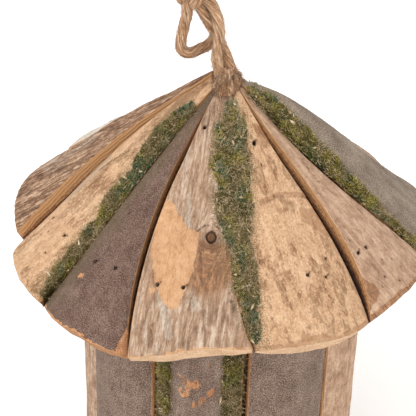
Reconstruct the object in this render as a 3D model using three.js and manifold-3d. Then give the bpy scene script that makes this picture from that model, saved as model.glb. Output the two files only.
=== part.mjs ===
// Rustic hanging birdhouse: a round body of upright log slabs under a conical roof of
// tapering log slabs, with moss laid along some of the joints and a doubled jute hanger.
//
// Units are millimetres and +Z is up. The house stands on z = 0 with its centre line on
// the Z axis and its entrance facing -Y. A bearing is an angle in degrees about the centre
// line, 0 at the front (-Y) and growing towards +X.

import * as THREE from 'three';
import { mergeVertices } from 'three/addons/utils/BufferGeometryUtils.js';
import Module from 'manifold-3d';

// ---------------------------------------------------------------- driving dimensions

const CLEARANCE = 0.3;            // between pieces that touch on the real house

// Roof: every slab's flat underside lies on a cone of planes that meet at ROOF_POINT.
const EAVE_HEIGHT = 165;
const EAVE_RADIUS = 106.5;
const ROOF_RISE = 75.2;
const ROOF_POINT = EAVE_HEIGHT + ROOF_RISE;
const SLAB_TIP_RADIUS = 8.5;      // the slab tips stop here, round the hanger
const SLAB_EDGE = 2;              // thickness left at a slab's eave corners
const SLAB_GAP = 0.7;             // between the undersides of neighbouring slabs
const PLUMB_TIP_RADIUS = 40;      // sides are plumb at the tip and square to the slab from here
const JOINT_RADII = [15, 60, 108]; // plan radii at which a joint line's bearings are given
const STEEPEST_FACE = 0.95;       // how far round its log a slab's face may reach
const BELLY_SHAPE = 6.75;         // brings a belly to its full height a third of the way down

// Walls
const WALL_JOINT_RADIUS = 70;     // outer arris of a wall slab at its joint
const WALL_CROWN_RADIUS = 77;
const WALL_EDGE = 4;              // thickness at the joint
const WALL_TOP = 169.7;
const ENTRANCE = { radius: 13, height: 74, from: 82, to: 50 }; // bored between two distances out

// Discs and block that the slabs are nailed to
const CEILING = { radius: 84, bottom: 170, top: 187, seat: 0.6 };
const APEX_BLOCK = { radius: 34, bottom: 187.3, tipRadius: 9 };
const TWINE_BORE_RADIUS = 6.5;
const FLOOR = { radius: 59.8, bottom: 10, top: 20 };
const DRAIN = { radius: 2.5, ring: 50, count: 4 };

// Clean-out hole in the floor, with a cover that swivels on a screw
const CLEANOUT = { radius: 17, offset: 26 };
const COVER = { radius: 21, eyeRadius: 7.5, bottom: 5.7, top: 9.7 };
const SCREW = { shank: 2, bore: 2.3, head: 4.2, headBottom: 2.6, headTop: 5.4, tip: 17 };

// Brads: thin headless nails, set below the face of the roof slabs
const BRAD = { radius: 0.7, bore: 1, boreSides: 8, set: 1, bite: 9, clear: 4 };

// Moss laid on the slabs
const MOSS = { lift: 0.9, edge: 0.7, thickness: 2.6, eaveMargin: 3 };
const WALL_STRIP = { bottom: 3, top: WALL_TOP - 6, inset: 0.4 };

// Jute hanger
const TWINE_DIAMETER = 5.5;
const LEG_SPACING = 6.3;
const KNOT = { centre: [-18.5, -2.8, 298.8], size: [8.8, 7.2, 6.6] };
const STOPPER = { centre: [0, 0, 162], size: [9.5, 9, 7] };

// Joint lines between roof slabs, from the left edge of slab 1: bearings at JOINT_RADII,
// and the plan radius of the eave corner.
const ROOF_JOINTS = [
  { bearings: [-160, -160, -157], reach: 113 },
  { bearings: [-118, -119, -120], reach: 113 },
  { bearings: [-92, -76, -67.5], reach: 105 },
  { bearings: [-46, -41.5, -42], reach: 112.8 },
  { bearings: [-29, -22.5, -15], reach: 115.9 },
  { bearings: [18, 12.3, 16.6], reach: 107.5 },
  { bearings: [46, 53.2, 49.5], reach: 107.9 },
  { bearings: [62, 72.3, 83], reach: 106.5 },
  { bearings: [118, 126, 131], reach: 108 },
  { bearings: [160, 165, 167], reach: 115 },
];

// Roof slabs, counter-clockwise seen from above, starting at the back left.
// thickness: at the crown; lean: crown shift as a share of the half width;
// bow: how far the eave end swells beyond a straight cut; belly: how much thicker the slab
// is a third of the way down;
// brads: [plan radius under the slab, share of the half width from the middle].
const ROOF_SLABS = [
  { thickness: 14.5, lean: 0.1, bow: 3, belly: 1, colour: 0xb9a48c, brads: [[82, 0.2]] },
  {
    thickness: 17, lean: 0.1, bow: 4, belly: -1, colour: 0x8a6d52,
    brads: [[76, -0.4], [76, 0.1]],
  },
  {
    thickness: 14, lean: 0.1, bow: 3, belly: 0, colour: 0xc9a27a,
    brads: [[86, -0.41], [86, 0.43]],
  },
  {
    thickness: 12.5, lean: 0, bow: 3.5, belly: 0, colour: 0x5d4a41,
    brads: [[86, -0.4], [84.7, 0.34]],
  },
  {
    thickness: 13.5, lean: -0.2, bow: 1, belly: 0, colour: 0x8f7359,
    brads: [[86, -0.62], [84.3, -0.07], [23, -0.65]],
  },
  {
    thickness: 14, lean: 0, bow: 5, belly: 0, colour: 0xbd9873,
    brads: [[77.9, 0.6], [81.5, 0.11], [84.5, 0.43], [27.1, 0.02]],
  },
  {
    thickness: 14, lean: 0, bow: 2, belly: 0, colour: 0xa98462,
    brads: [[81.6, -0.78], [81.3, -0.47]],
  },
  { thickness: 14, lean: 0, bow: 5, belly: 7.5, colour: 0x6f6258, brads: [[76, 0.3]] },
  { thickness: 10.5, lean: 0, bow: 0, belly: 0, colour: 0xa58465, brads: [[82, -0.3], [82, 0.3]] },
  { thickness: 13, lean: 0, bow: 0, belly: 3, colour: 0x7b6450, brads: [[82, -0.3], [82, 0.3]] },
];

// Moss strips on roof joints: widths to the left and right of the joint at JOINT_RADII.
const ROOF_MOSS = [
  { joint: 3, start: 22, left: [16, 11, 6], right: [0, 0, 0] },
  { joint: 5, start: 16, left: [11, 9.5, 0.5], right: [6, 10.5, 6.5] },
  { joint: 7, start: 14, left: [0, 0, 0], right: [9, 9.5, 9] },
  { joint: 9, start: 34, left: [8, 9, 6], right: [8, 8, 5] },
];

// Wall slabs run from each bearing to the next; the one that starts at -20.2 is the front.
const WALL_JOINTS = [-66, -20.2, 19.6, 63.3, 109.5, 155.6, 201.7, 247.8];
const WALL_COLOURS = [
  0x5f5047, 0x6e5545, 0x5a4a42, 0xc29a6f, 0x80664f, 0xb9946d, 0x64544a, 0xc6a078,
];

// Moss strips on wall joints: widths to the left and right of the joint.
const WALL_MOSS = [
  { joint: 1, left: 0, right: 6.9 },
  { joint: 2, left: 9, right: 0 },
  { joint: 5, left: 0, right: 8 },
  { joint: 6, left: 8, right: 0 },
];

// Middle line of the two hanger legs, and the line of the loop that droops from the knot.
const LEG_LINE = [
  [0, 0, 160], [0, 0, 185], [0, 0, 210], [0, 0, 235], [-0.3, 0, 248], [-1.7, -0.2, 256],
  [-4.2, -0.6, 265], [-5.9, -0.9, 273.5], [-7.6, -1.1, 281], [-10.6, -1.6, 289],
  [-14.5, -2.2, 295.5], [-18.5, -2.8, 299],
];
const LOOP_LINE = [
  [-20.6, -4.6, 297], [-21, -5.4, 289.5], [-22.4, -5.2, 282], [-23.8, -4.8, 274.5],
  [-23.8, -3.8, 269], [-20.6, -1.6, 266], [-16.4, 3, 266], [-12, 8.4, 266.8],
  [-8.6, 11, 271.2], [-8.4, 11.2, 278.5], [-10.8, 10, 287], [-14.4, 6, 294], [-17.4, 1.4, 298],
];
// Turn of the pair about its middle line, in degrees, at the points of LEG_LINE.
const LEG_TURN = [8.5, 8.5, 8.5, 8.5, 8.5, 20, 55, 98, 140, 178, 188, 188];

const COLOURS = { moss: 0x4b5228, twine: 0xb98a58, board: 0xcfae82, metal: 0x6a6662 };

// ------------------------------------------------------------------- small helpers

const radians = THREE.MathUtils.degToRad;

function bearingPoint(bearing, radius) {
  return new THREE.Vector2(
    radius * Math.sin(radians(bearing)),
    -radius * Math.cos(radians(bearing)),
  );
}

// The parabola through three values given at JOINT_RADII.
function alongJoint(values, radius) {
  const [a, b, c] = JOINT_RADII;
  const wa = ((radius - b) * (radius - c)) / ((a - b) * (a - c));
  const wb = ((radius - a) * (radius - c)) / ((b - a) * (b - c));
  const wc = ((radius - a) * (radius - b)) / ((c - a) * (c - b));
  return values[0] * wa + values[1] * wb + values[2] * wc;
}

function material(colour, roughness = 0.9, metalness = 0) {
  return new THREE.MeshStandardMaterial({ color: colour, roughness, metalness, flatShading: true });
}

// ------------------------------------------------------------------ solids by boolean

const wasm = await Module();
wasm.setup();

function solidOf(geometry) {
  const bare = geometry.clone();
  bare.deleteAttribute('normal');
  bare.deleteAttribute('uv');
  const merged = mergeVertices(bare, 1e-4);
  return new wasm.Manifold(new wasm.Mesh({
    numProp: 3,
    vertProperties: Float32Array.from(merged.attributes.position.array),
    triVerts: Uint32Array.from(merged.index.array),
  }));
}

function geometryOf(solid) {
  const mesh = solid.getMesh();
  const geometry = new THREE.BufferGeometry();
  geometry.setAttribute('position', new THREE.BufferAttribute(mesh.vertProperties, 3));
  geometry.setIndex(new THREE.BufferAttribute(mesh.triVerts, 1));
  geometry.computeVertexNormals();
  return geometry;
}

// The first geometry with all the others cut out of it.
function cut(geometry, tools) {
  let solid = solidOf(geometry);
  for (const tool of tools) {
    solid = solid.subtract(solidOf(tool));
  }
  return geometryOf(solid);
}

// A closed skin over two grids of points, upper[row][column] over lower[row][column].
// Rows run away from the centre line and columns run towards a growing bearing.
function skin(upper, lower) {
  const rows = upper.length;
  const columns = upper[0].length;
  const positions = [];
  for (const grid of [upper, lower]) {
    for (const point of grid.flat()) {
      positions.push(point.x, point.y, point.z);
    }
  }
  const top = (row, column) => row * columns + column;
  const under = (row, column) => rows * columns + top(row, column);
  const index = [];
  const quad = (a, b, c, d) => index.push(a, b, c, a, c, d);
  for (let row = 0; row < rows - 1; row += 1) {
    for (let column = 0; column < columns - 1; column += 1) {
      quad(top(row, column), top(row + 1, column), top(row + 1, column + 1), top(row, column + 1));
      quad(under(row, column), under(row, column + 1), under(row + 1, column + 1),
        under(row + 1, column));
    }
    const last = columns - 1;
    quad(top(row, 0), under(row, 0), under(row + 1, 0), top(row + 1, 0));
    quad(top(row, last), top(row + 1, last), under(row + 1, last), under(row, last));
  }
  for (let column = 0; column < columns - 1; column += 1) {
    const last = rows - 1;
    quad(top(0, column), top(0, column + 1), under(0, column + 1), under(0, column));
    quad(top(last, column), under(last, column), under(last, column + 1), top(last, column + 1));
  }
  const geometry = new THREE.BufferGeometry();
  geometry.setAttribute('position', new THREE.Float32BufferAttribute(positions, 3));
  geometry.setIndex(index);
  geometry.computeVertexNormals();
  return geometry;
}

// A cylinder from one point to another.
function rod(from, to, radius, sides) {
  const axis = new THREE.Vector3().subVectors(to, from);
  const geometry = new THREE.CylinderGeometry(radius, radius, axis.length(), sides);
  const turn = new THREE.Quaternion().setFromUnitVectors(
    new THREE.Vector3(0, 1, 0),
    axis.clone().normalize(),
  );
  geometry.applyQuaternion(turn);
  const middle = from.clone().add(to).multiplyScalar(0.5);
  geometry.translate(middle.x, middle.y, middle.z);
  return geometry;
}

function uprightRod(x, y, bottom, top, radius, sides = 32) {
  return rod(new THREE.Vector3(x, y, bottom), new THREE.Vector3(x, y, top), radius, sides);
}

// A solid of revolution about Z from [radius, height] points in order.
function turned(profile, sides = 48) {
  const points = profile.map(([radius, height]) => new THREE.Vector2(radius, height));
  points.push(points[0].clone());
  const geometry = new THREE.LatheGeometry(points, sides);
  geometry.rotateX(Math.PI / 2);
  return geometry;
}

// ------------------------------------------------------------------------- roof

class RoofSlab {
  constructor(number, left, right, spec) {
    this.number = number;
    this.name = `roof_slab_${number}`;
    this.left = left;
    this.right = right;
    this.spec = spec;
    const corners = [left, right].map((joint) => bearingPoint(joint.bearings[2], joint.reach));
    const farEdge = (corners[0].distanceTo(corners[1]) / 2) * (1 + Math.abs(spec.lean));
    const bearing = (left.bearings[2] + right.bearings[2]) / 2;
    const halfAngle = (right.bearings[2] - left.bearings[2]) / 2;
    this.outward = bearingPoint(bearing, 1);
    this.across = bearingPoint(bearing + 90, 1);
    this.slope = ROOF_RISE / EAVE_RADIUS / Math.cos(radians(halfAngle));
    this.pitch = Math.atan(this.slope);
    const drop = spec.thickness - SLAB_EDGE;
    this.logRadius = (drop ** 2 + farEdge ** 2) / (2 * drop);
  }

  bearings(radius) {
    return [this.left, this.right].map((joint) => alongJoint(joint.bearings, radius));
  }

  undersideHeight(point) {
    return ROOF_POINT - this.slope * point.dot(this.outward);
  }

  // Thickness square to the slab: a slice of a round log, highest along its crown line,
  // with a belly where the log was crooked.
  thicknessAt(point) {
    const radius = point.length();
    const edges = this.bearings(radius).map((b) => bearingPoint(b, radius).dot(this.across));
    const middle = (edges[0] + edges[1]) / 2;
    const halfWidth = (edges[1] - edges[0]) / 2;
    const off = point.dot(this.across) - middle - this.spec.lean * halfWidth;
    const reach = Math.min(Math.abs(off), this.logRadius * STEEPEST_FACE);
    const slice = Math.sqrt(this.logRadius ** 2 - reach ** 2) - this.logRadius
      + this.spec.thickness;
    const down = THREE.MathUtils.clamp(
      (radius - SLAB_TIP_RADIUS) / (EAVE_RADIUS - SLAB_TIP_RADIUS),
      0,
      1,
    );
    const level = Math.max(1 - (off / halfWidth) ** 2, 0);
    const belly = this.spec.belly * BELLY_SHAPE * down * (1 - down) ** 2 * level;
    return Math.max(slice + belly, SLAB_EDGE / 2);
  }

  topHeight(point) {
    return this.undersideHeight(point) + this.thicknessAt(point) / Math.cos(this.pitch);
  }

  // A point of the plan, from the tip (0) to the eave (1) and from edge to edge (-1 to 1).
  planPoint(down, share) {
    const edge = (joint, side) => {
      const radius = THREE.MathUtils.lerp(SLAB_TIP_RADIUS, joint.reach, down);
      const gapAngle = THREE.MathUtils.radToDeg(SLAB_GAP / 2 / radius);
      return bearingPoint(alongJoint(joint.bearings, radius) - side * gapAngle, radius);
    };
    const bow = this.spec.bow * (1 - share ** 2) * down ** 2;
    return edge(this.left, -1).lerp(edge(this.right, 1), (share + 1) / 2)
      .addScaledVector(this.outward, bow);
  }

  // The point of the top face square above a point of the underside. Near the tip it is
  // plumb above it instead, so that the tips close round the hanger.
  topPoint(point) {
    const square = THREE.MathUtils.smoothstep(point.length(), SLAB_TIP_RADIUS, PLUMB_TIP_RADIUS);
    const shift = this.thicknessAt(point) * Math.sin(this.pitch) * square;
    const moved = point.clone().addScaledVector(this.outward, shift);
    return new THREE.Vector3(moved.x, moved.y, this.topHeight(moved));
  }

  underPoint(point) {
    return new THREE.Vector3(point.x, point.y, this.undersideHeight(point));
  }

  normal() {
    const lean = this.outward.clone().multiplyScalar(Math.sin(this.pitch));
    return new THREE.Vector3(lean.x, lean.y, Math.cos(this.pitch));
  }

  // Each brad runs square through the slab and bites into the disc or block below.
  bradLines() {
    return this.spec.brads.map(([radius, share]) => {
      const bearings = this.bearings(radius);
      const bearing = THREE.MathUtils.lerp(bearings[0], bearings[1], (share + 1) / 2);
      const plan = bearingPoint(bearing, radius);
      const under = this.underPoint(plan);
      const normal = this.normal();
      return {
        surface: under.clone().addScaledVector(normal, this.thicknessAt(plan)),
        end: under.clone().addScaledVector(normal, -BRAD.bite),
        normal,
      };
    });
  }

  geometry() {
    const rows = 12;
    const columns = 10;
    const upper = [];
    const lower = [];
    for (let row = 0; row < rows; row += 1) {
      const points = [];
      for (let column = 0; column < columns; column += 1) {
        points.push(this.planPoint(row / (rows - 1), (2 * column) / (columns - 1) - 1));
      }
      upper.push(points.map((point) => this.topPoint(point)));
      lower.push(points.map((point) => this.underPoint(point)));
    }
    return skin(upper, lower);
  }
}

const roofSlabs = ROOF_SLABS.map((spec, i) => {
  const next = ROOF_JOINTS[(i + 1) % ROOF_JOINTS.length];
  const lap = i + 1 === ROOF_JOINTS.length ? 360 : 0;
  const right = { ...next, bearings: next.bearings.map((bearing) => bearing + lap) };
  return new RoofSlab(i + 1, ROOF_JOINTS[i], right, spec);
});

// Highest the ceiling disc and the apex block may reach under the steepest slab.
const steepest = Math.max(...roofSlabs.map((slab) => slab.slope));
const seatHeight = (radius) => ROOF_POINT - steepest * radius - CEILING.seat;

const brads = roofSlabs.flatMap((slab) => slab.bradLines());

function bradBores(lines) {
  return lines.map(({ surface, end, normal }) => rod(
    surface.clone().addScaledVector(normal, BRAD.clear),
    end.clone().addScaledVector(normal, -BRAD.bore),
    BRAD.bore,
    BRAD.boreSides,
  ));
}

// ------------------------------------------------------------------------- moss

// A strip over a roof joint, lying on both slabs and bridging the groove between them.
function roofMoss({ joint, start, left, right }) {
  const rows = 12;
  const shares = [1, 0.66, 0.33, 0];
  const before = roofSlabs[(joint + roofSlabs.length - 1) % roofSlabs.length];
  const after = roofSlabs[joint];
  const line = ROOF_JOINTS[joint];
  const end = line.reach - MOSS.eaveMargin;
  const upper = [];
  const lower = [];
  for (let row = 0; row < rows; row += 1) {
    const down = row / (rows - 1);
    const radius = THREE.MathUtils.lerp(start, end, down);
    const bearing = alongJoint(line.bearings, radius);
    const leftWidth = alongJoint(left, radius);
    const rightWidth = alongJoint(right, radius);
    const stops = [
      ...(leftWidth > 0 ? shares.slice(0, -1).map((share) => -share * leftWidth) : []),
      0,
      ...(rightWidth > 0 ? shares.slice(0, -1).reverse().map((share) => share * rightWidth) : []),
    ];
    const upperRow = [];
    const lowerRow = [];
    stops.forEach((stop, i) => {
      const point = bearingPoint(bearing + THREE.MathUtils.radToDeg(stop / radius), radius);
      const heights = [];
      if (stop <= 0) heights.push(before.topHeight(point));
      if (stop >= 0) heights.push(after.topHeight(point));
      const height = Math.max(...heights) + MOSS.lift;
      const swell = Math.sin((Math.PI * (i + 0.5)) / stops.length);
      const taper = Math.min(1, 4 * Math.min(down, 1 - down) + 0.25);
      const thickness = MOSS.edge + MOSS.thickness * swell * taper;
      lowerRow.push(new THREE.Vector3(point.x, point.y, height));
      upperRow.push(new THREE.Vector3(point.x, point.y, height + thickness));
    });
    upper.push(upperRow);
    lower.push(lowerRow);
  }
  return skin(upper, lower);
}

// ------------------------------------------------------------------------- walls

class WallSlab {
  constructor(number, from, to) {
    this.name = number === 2 ? 'wall_slab_front' : `wall_slab_${number}`;
    this.bearing = (from + to) / 2;
    const half = radians((to - from) / 2);
    this.chord = WALL_JOINT_RADIUS * Math.cos(half);
    this.back = this.chord - WALL_EDGE;
    this.halfWidth = this.back * Math.tan(half) - CLEARANCE / Math.cos(half);
    const bulge = WALL_CROWN_RADIUS - this.chord;
    this.logRadius = (bulge ** 2 + this.halfWidth ** 2) / (2 * bulge);
  }

  // Distance of the outer face from the centre line, at an offset across the slab.
  face(offset) {
    return WALL_CROWN_RADIUS - this.logRadius + Math.sqrt(this.logRadius ** 2 - offset ** 2);
  }

  // Place a shape drawn with the slab's outward direction along -Y.
  place(geometry) {
    geometry.rotateZ(radians(this.bearing));
    return geometry;
  }

  geometry() {
    const steps = 12;
    const outline = new THREE.Shape();
    outline.moveTo(-this.halfWidth, -this.back);
    for (let i = 0; i <= steps; i += 1) {
      const offset = this.halfWidth * ((2 * i) / steps - 1);
      outline.lineTo(offset, -this.face(offset));
    }
    outline.lineTo(this.halfWidth, -this.back);
    return this.place(new THREE.ExtrudeGeometry(outline, { depth: WALL_TOP, bevelEnabled: false }));
  }

  // A strip of moss along one margin: side -1 is the edge at the smaller bearing.
  moss(side, width) {
    const { bottom, top, inset } = WALL_STRIP;
    const steps = 4;
    const offsets = [];
    for (let i = 0; i <= steps; i += 1) {
      offsets.push(side * (this.halfWidth - inset - (width * i) / steps));
    }
    const outline = new THREE.Shape();
    offsets.forEach((offset, i) => {
      const y = -this.face(offset) - MOSS.lift;
      if (i === 0) outline.moveTo(offset, y);
      else outline.lineTo(offset, y);
    });
    offsets.reverse().forEach((offset, i) => {
      const swell = Math.sin((Math.PI * (i + 0.5)) / (steps + 1));
      outline.lineTo(offset, -this.face(offset) - MOSS.lift - MOSS.edge - MOSS.thickness * swell);
    });
    const depth = top - bottom;
    const strip = new THREE.ExtrudeGeometry(outline, { depth, bevelEnabled: false });
    strip.translate(0, 0, bottom);
    return this.place(strip);
  }
}

const wallSlabs = WALL_JOINTS.map((from, i) => {
  const to = i + 1 < WALL_JOINTS.length ? WALL_JOINTS[i + 1] : WALL_JOINTS[0] + 360;
  return new WallSlab(i + 1, from, to);
});

function entranceBore() {
  const { radius, height, from, to } = ENTRANCE;
  return rod(new THREE.Vector3(0, -from, height), new THREE.Vector3(0, -to, height), radius, 40);
}

// ------------------------------------------------------- discs, block and clean-out

function ceilingDisc() {
  const { radius, bottom, top } = CEILING;
  const shoulder = (ROOF_POINT - CEILING.seat - top) / steepest;
  const profile = [
    [TWINE_BORE_RADIUS, bottom],
    [radius, bottom],
    [radius, seatHeight(radius)],
    [shoulder, top],
    [TWINE_BORE_RADIUS, top],
  ];
  return cut(turned(profile, 48), bradBores(brads.filter(({ end }) => end.z < top)));
}

function apexBlock() {
  const { radius, bottom, tipRadius } = APEX_BLOCK;
  const profile = [
    [TWINE_BORE_RADIUS, bottom],
    [radius, bottom],
    [radius, seatHeight(radius)],
    [tipRadius, seatHeight(tipRadius)],
    [TWINE_BORE_RADIUS, seatHeight(tipRadius)],
  ];
  return cut(turned(profile, 32), bradBores(brads.filter(({ end }) => end.z > CEILING.top)));
}

function floorDisc() {
  const through = [FLOOR.bottom - 1, FLOOR.top + 1];
  const holes = [
    uprightRod(0, CLEANOUT.offset, ...through, CLEANOUT.radius, 48),
    uprightRod(0, 0, ...through, SCREW.bore, 16),
  ];
  for (let i = 0; i < DRAIN.count; i += 1) {
    const place = bearingPoint((360 * (i + 0.5)) / DRAIN.count, DRAIN.ring);
    holes.push(uprightRod(place.x, place.y, ...through, DRAIN.radius, 16));
  }
  return cut(uprightRod(0, 0, FLOOR.bottom, FLOOR.top, FLOOR.radius, 72), holes);
}

// A plate with a round lid over the hole and a smaller eye round the screw.
function cleanoutCover() {
  const { radius, eyeRadius, bottom, top } = COVER;
  const lean = Math.asin((radius - eyeRadius) / CLEANOUT.offset);
  const steps = 24;
  const outline = new THREE.Shape();
  for (let i = 0; i <= steps; i += 1) {
    const angle = THREE.MathUtils.lerp(-lean, Math.PI + lean, i / steps);
    const x = radius * Math.cos(angle);
    const y = CLEANOUT.offset + radius * Math.sin(angle);
    if (i === 0) outline.moveTo(x, y);
    else outline.lineTo(x, y);
  }
  for (let i = 0; i <= steps; i += 1) {
    const angle = THREE.MathUtils.lerp(Math.PI + lean, 2 * Math.PI - lean, i / steps);
    outline.lineTo(eyeRadius * Math.cos(angle), eyeRadius * Math.sin(angle));
  }
  const plate = new THREE.ExtrudeGeometry(outline, { depth: top - bottom, bevelEnabled: false });
  plate.translate(0, 0, bottom);
  return cut(plate, [uprightRod(0, 0, bottom - 1, top + 1, SCREW.bore, 16)]);
}

function cleanoutScrew() {
  const { shank, head, headBottom, headTop, tip } = SCREW;
  return turned([[0, headBottom], [head * 0.8, headBottom], [head, headBottom + 1],
    [head, headTop], [shank, headTop], [shank, tip], [0, tip + shank]], 16);
}

// ------------------------------------------------------------------------- hanger

function ellipsoid({ centre, size }, grow, sides = 20) {
  const geometry = new THREE.SphereGeometry(1, sides, sides / 2);
  geometry.scale(size[0] + grow, size[1] + grow, size[2] + grow);
  geometry.translate(...centre);
  return geometry;
}

function twineTube(points, steps) {
  const section = new THREE.Shape();
  const sides = 10;
  for (let i = 0; i < sides; i += 1) {
    const angle = (2 * Math.PI * i) / sides;
    const x = (TWINE_DIAMETER / 2) * Math.cos(angle);
    const y = (TWINE_DIAMETER / 2) * Math.sin(angle);
    if (i === 0) section.moveTo(x, y);
    else section.lineTo(x, y);
  }
  const extrudePath = new THREE.CatmullRomCurve3(points);
  return new THREE.ExtrudeGeometry(section, { steps, extrudePath, bevelEnabled: false });
}

// A leg of the hanger: side is -1 or 1, across the pair from its middle line.
function twineLeg(side) {
  const points = LEG_LINE.map((middle, i) => {
    const turn = radians(LEG_TURN[i]);
    const reach = (side * LEG_SPACING) / 2;
    return new THREE.Vector3(...middle).add(
      new THREE.Vector3(reach * Math.cos(turn), reach * Math.sin(turn), 0),
    );
  });
  return cut(twineTube(points, 24), [ellipsoid(KNOT, CLEARANCE), ellipsoid(STOPPER, CLEARANCE)]);
}

function twineLoop() {
  const points = LOOP_LINE.map((point) => new THREE.Vector3(...point));
  return cut(twineTube(points, 22), [ellipsoid(KNOT, CLEARANCE)]);
}

// ------------------------------------------------------------------------- assembly

const birdhouse = new THREE.Group();

function add(name, geometry, surface) {
  const mesh = new THREE.Mesh(geometry, surface);
  mesh.name = name;
  birdhouse.add(mesh);
  return mesh;
}

const mossSurface = material(COLOURS.moss, 1);
const twineSurface = material(COLOURS.twine, 1);
const boardSurface = material(COLOURS.board, 0.85);
const metalSurface = material(COLOURS.metal, 0.45, 0.9);

for (const slab of roofSlabs) {
  const lines = slab.bradLines();
  add(slab.name, cut(slab.geometry(), bradBores(lines)), material(slab.spec.colour));
  lines.forEach(({ surface, end, normal }, i) => {
    const head = surface.clone().addScaledVector(normal, -BRAD.set);
    add(`brad_${slab.number}_${i + 1}`, rod(end, head, BRAD.radius, 6), metalSurface);
  });
}

ROOF_MOSS.forEach((strip, i) => add(`roof_moss_${i + 1}`, roofMoss(strip), mossSurface));

wallSlabs.forEach((slab, i) => {
  const whole = slab.geometry();
  const isFront = slab.name === 'wall_slab_front';
  add(slab.name, isFront ? cut(whole, [entranceBore()]) : whole, material(WALL_COLOURS[i]));
});

WALL_MOSS.forEach(({ joint, left, right }, i) => {
  const before = wallSlabs[joint - 1];
  const after = wallSlabs[joint];
  add(`wall_moss_${i + 1}`, left > 0 ? before.moss(1, left) : after.moss(-1, right), mossSurface);
});

add('ceiling_disc', ceilingDisc(), boardSurface);
add('apex_block', apexBlock(), boardSurface);
add('floor_disc', floorDisc(), boardSurface);
add('cleanout_cover', cleanoutCover(), boardSurface);
add('cleanout_screw', cleanoutScrew(), metalSurface);

add('twine_leg_left', twineLeg(-1), twineSurface);
add('twine_leg_right', twineLeg(1), twineSurface);
add('twine_loop', twineLoop(), twineSurface);
add('twine_knot', ellipsoid(KNOT, 0), twineSurface);
add('twine_stopper_knot', ellipsoid(STOPPER, 0), twineSurface);

export default birdhouse;
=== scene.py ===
import math

import bpy
import numpy as np
from mathutils import Matrix, Vector


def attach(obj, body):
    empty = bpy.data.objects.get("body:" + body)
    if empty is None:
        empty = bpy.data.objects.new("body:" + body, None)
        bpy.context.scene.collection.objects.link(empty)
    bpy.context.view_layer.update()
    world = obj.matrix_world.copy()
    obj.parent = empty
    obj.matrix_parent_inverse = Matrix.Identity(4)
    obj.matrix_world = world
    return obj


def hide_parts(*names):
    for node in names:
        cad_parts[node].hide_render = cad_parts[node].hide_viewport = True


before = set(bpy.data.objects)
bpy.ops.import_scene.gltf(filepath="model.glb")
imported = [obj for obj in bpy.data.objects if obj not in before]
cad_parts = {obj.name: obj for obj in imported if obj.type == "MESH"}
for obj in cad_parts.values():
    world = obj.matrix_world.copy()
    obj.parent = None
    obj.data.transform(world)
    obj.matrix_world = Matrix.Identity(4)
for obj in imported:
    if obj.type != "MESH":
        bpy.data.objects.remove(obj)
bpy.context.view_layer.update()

# Rustic birdhouse: bark, peeled wood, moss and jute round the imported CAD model.
# Shapes are worked out in millimetres in the CAD frame and turned into metres in the meshes.
# A bearing is an angle in degrees about the centre line, 0 at the front (-Y), growing to +X.

MM = 0.001

# ------------------------------------------------------------------ driving dimensions

EAVE_HEIGHT = 165.0
EAVE_RADIUS = 106.5
ROOF_RISE = 75.2
ROOF_POINT = EAVE_HEIGHT + ROOF_RISE
SLAB_TIP_RADIUS = 8.5
SLAB_EDGE = 2.0
SLAB_GAP = 0.7
PLUMB_TIP_RADIUS = 40.0
JOINT_RADII = (15.0, 60.0, 108.0)
STEEPEST = 0.95          # how far round its log a face may reach
BELLY_SHAPE = 6.75       # makes a belly reach its full height a third of the way down

WALL_JOINT_RADIUS = 70.0
WALL_CROWN_RADIUS = 77.0
WALL_EDGE = 4.0
WALL_TOP = 169.7
WALL_CLEARANCE = 0.3
ENTRANCE_RADIUS = 13.0
ENTRANCE_HEIGHT = 74.0

TWINE_DIAMETER = 5.5
LEG_SPACING = 6.3
KNOT_CENTRE = (-18.5, -2.8, 298.8)
STOPPER_CENTRE = (0.0, 0.0, 162.0)
COLLAR_TOP = 260.0        # height to which fibres are packed round the legs

# Joint lines between roof slabs, as in the CAD: bearings at JOINT_RADII and the eave radius.
ROOF_JOINTS = (
    ((-160, -160, -157), 113),
    ((-118, -119, -120), 113),
    ((-92, -76, -67.5), 105),
    ((-46, -41.5, -42), 112.8),
    ((-29, -22.5, -15), 115.9),
    ((18, 12.3, 16.6), 107.5),
    ((46, 53.2, 49.5), 107.9),
    ((62, 72.3, 83), 106.5),
    ((118, 126, 131), 108),
    ((160, 165, 167), 115),
)

# As in the CAD: thickness at the crown, crown shift, eave bow, belly, kind of surface, brads.
ROOF_SLABS = (
    (14.5, 0.1, 3, 1, "pale", [(82, 0.2)]),
    (17, 0.1, 4, -1, "rough", [(76, -0.4), (76, 0.1)]),
    (14, 0.1, 3, 0, "tan", [(86, -0.41), (86, 0.43)]),
    (12.5, 0, 3.5, 0, "dark", [(86, -0.4), (84.7, 0.34)]),
    (13.5, -0.2, 1, 0, "weathered", [(86, -0.62), (84.3, -0.07), (23, -0.65)]),
    (14, 0, 5, 0, "tan", [(77.9, 0.6), (81.5, 0.11), (84.5, 0.43), (27.1, 0.02)]),
    (14, 0, 2, 0, "streaked", [(81.6, -0.78), (81.3, -0.47)]),
    (14, 0, 5, 7.5, "grey", [(76, 0.3)]),
    (10.5, 0, 0, 0, "weathered", [(82, -0.3), (82, 0.3)]),
    (13, 0, 0, 3, "rough", [(82, -0.3), (82, 0.3)]),
)

# Moss on roof joints, as in the CAD: joint, start radius, widths left and right.
ROOF_MOSS = (
    (3, 22, (16, 11, 6), (0, 0, 0)),
    (5, 16, (11, 9.5, 0.5), (6, 10.5, 6.5)),
    (7, 14, (0, 0, 0), (9, 9.5, 9)),
    (9, 34, (8, 9, 6), (8, 8, 5)),
)

WALL_JOINTS = (-66, -20.2, 19.6, 63.3, 109.5, 155.6, 201.7, 247.8)
WALL_KINDS = ("dusty", "dusty", "dusty", "streaked", "rough", "tan", "grey", "weathered")

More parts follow.
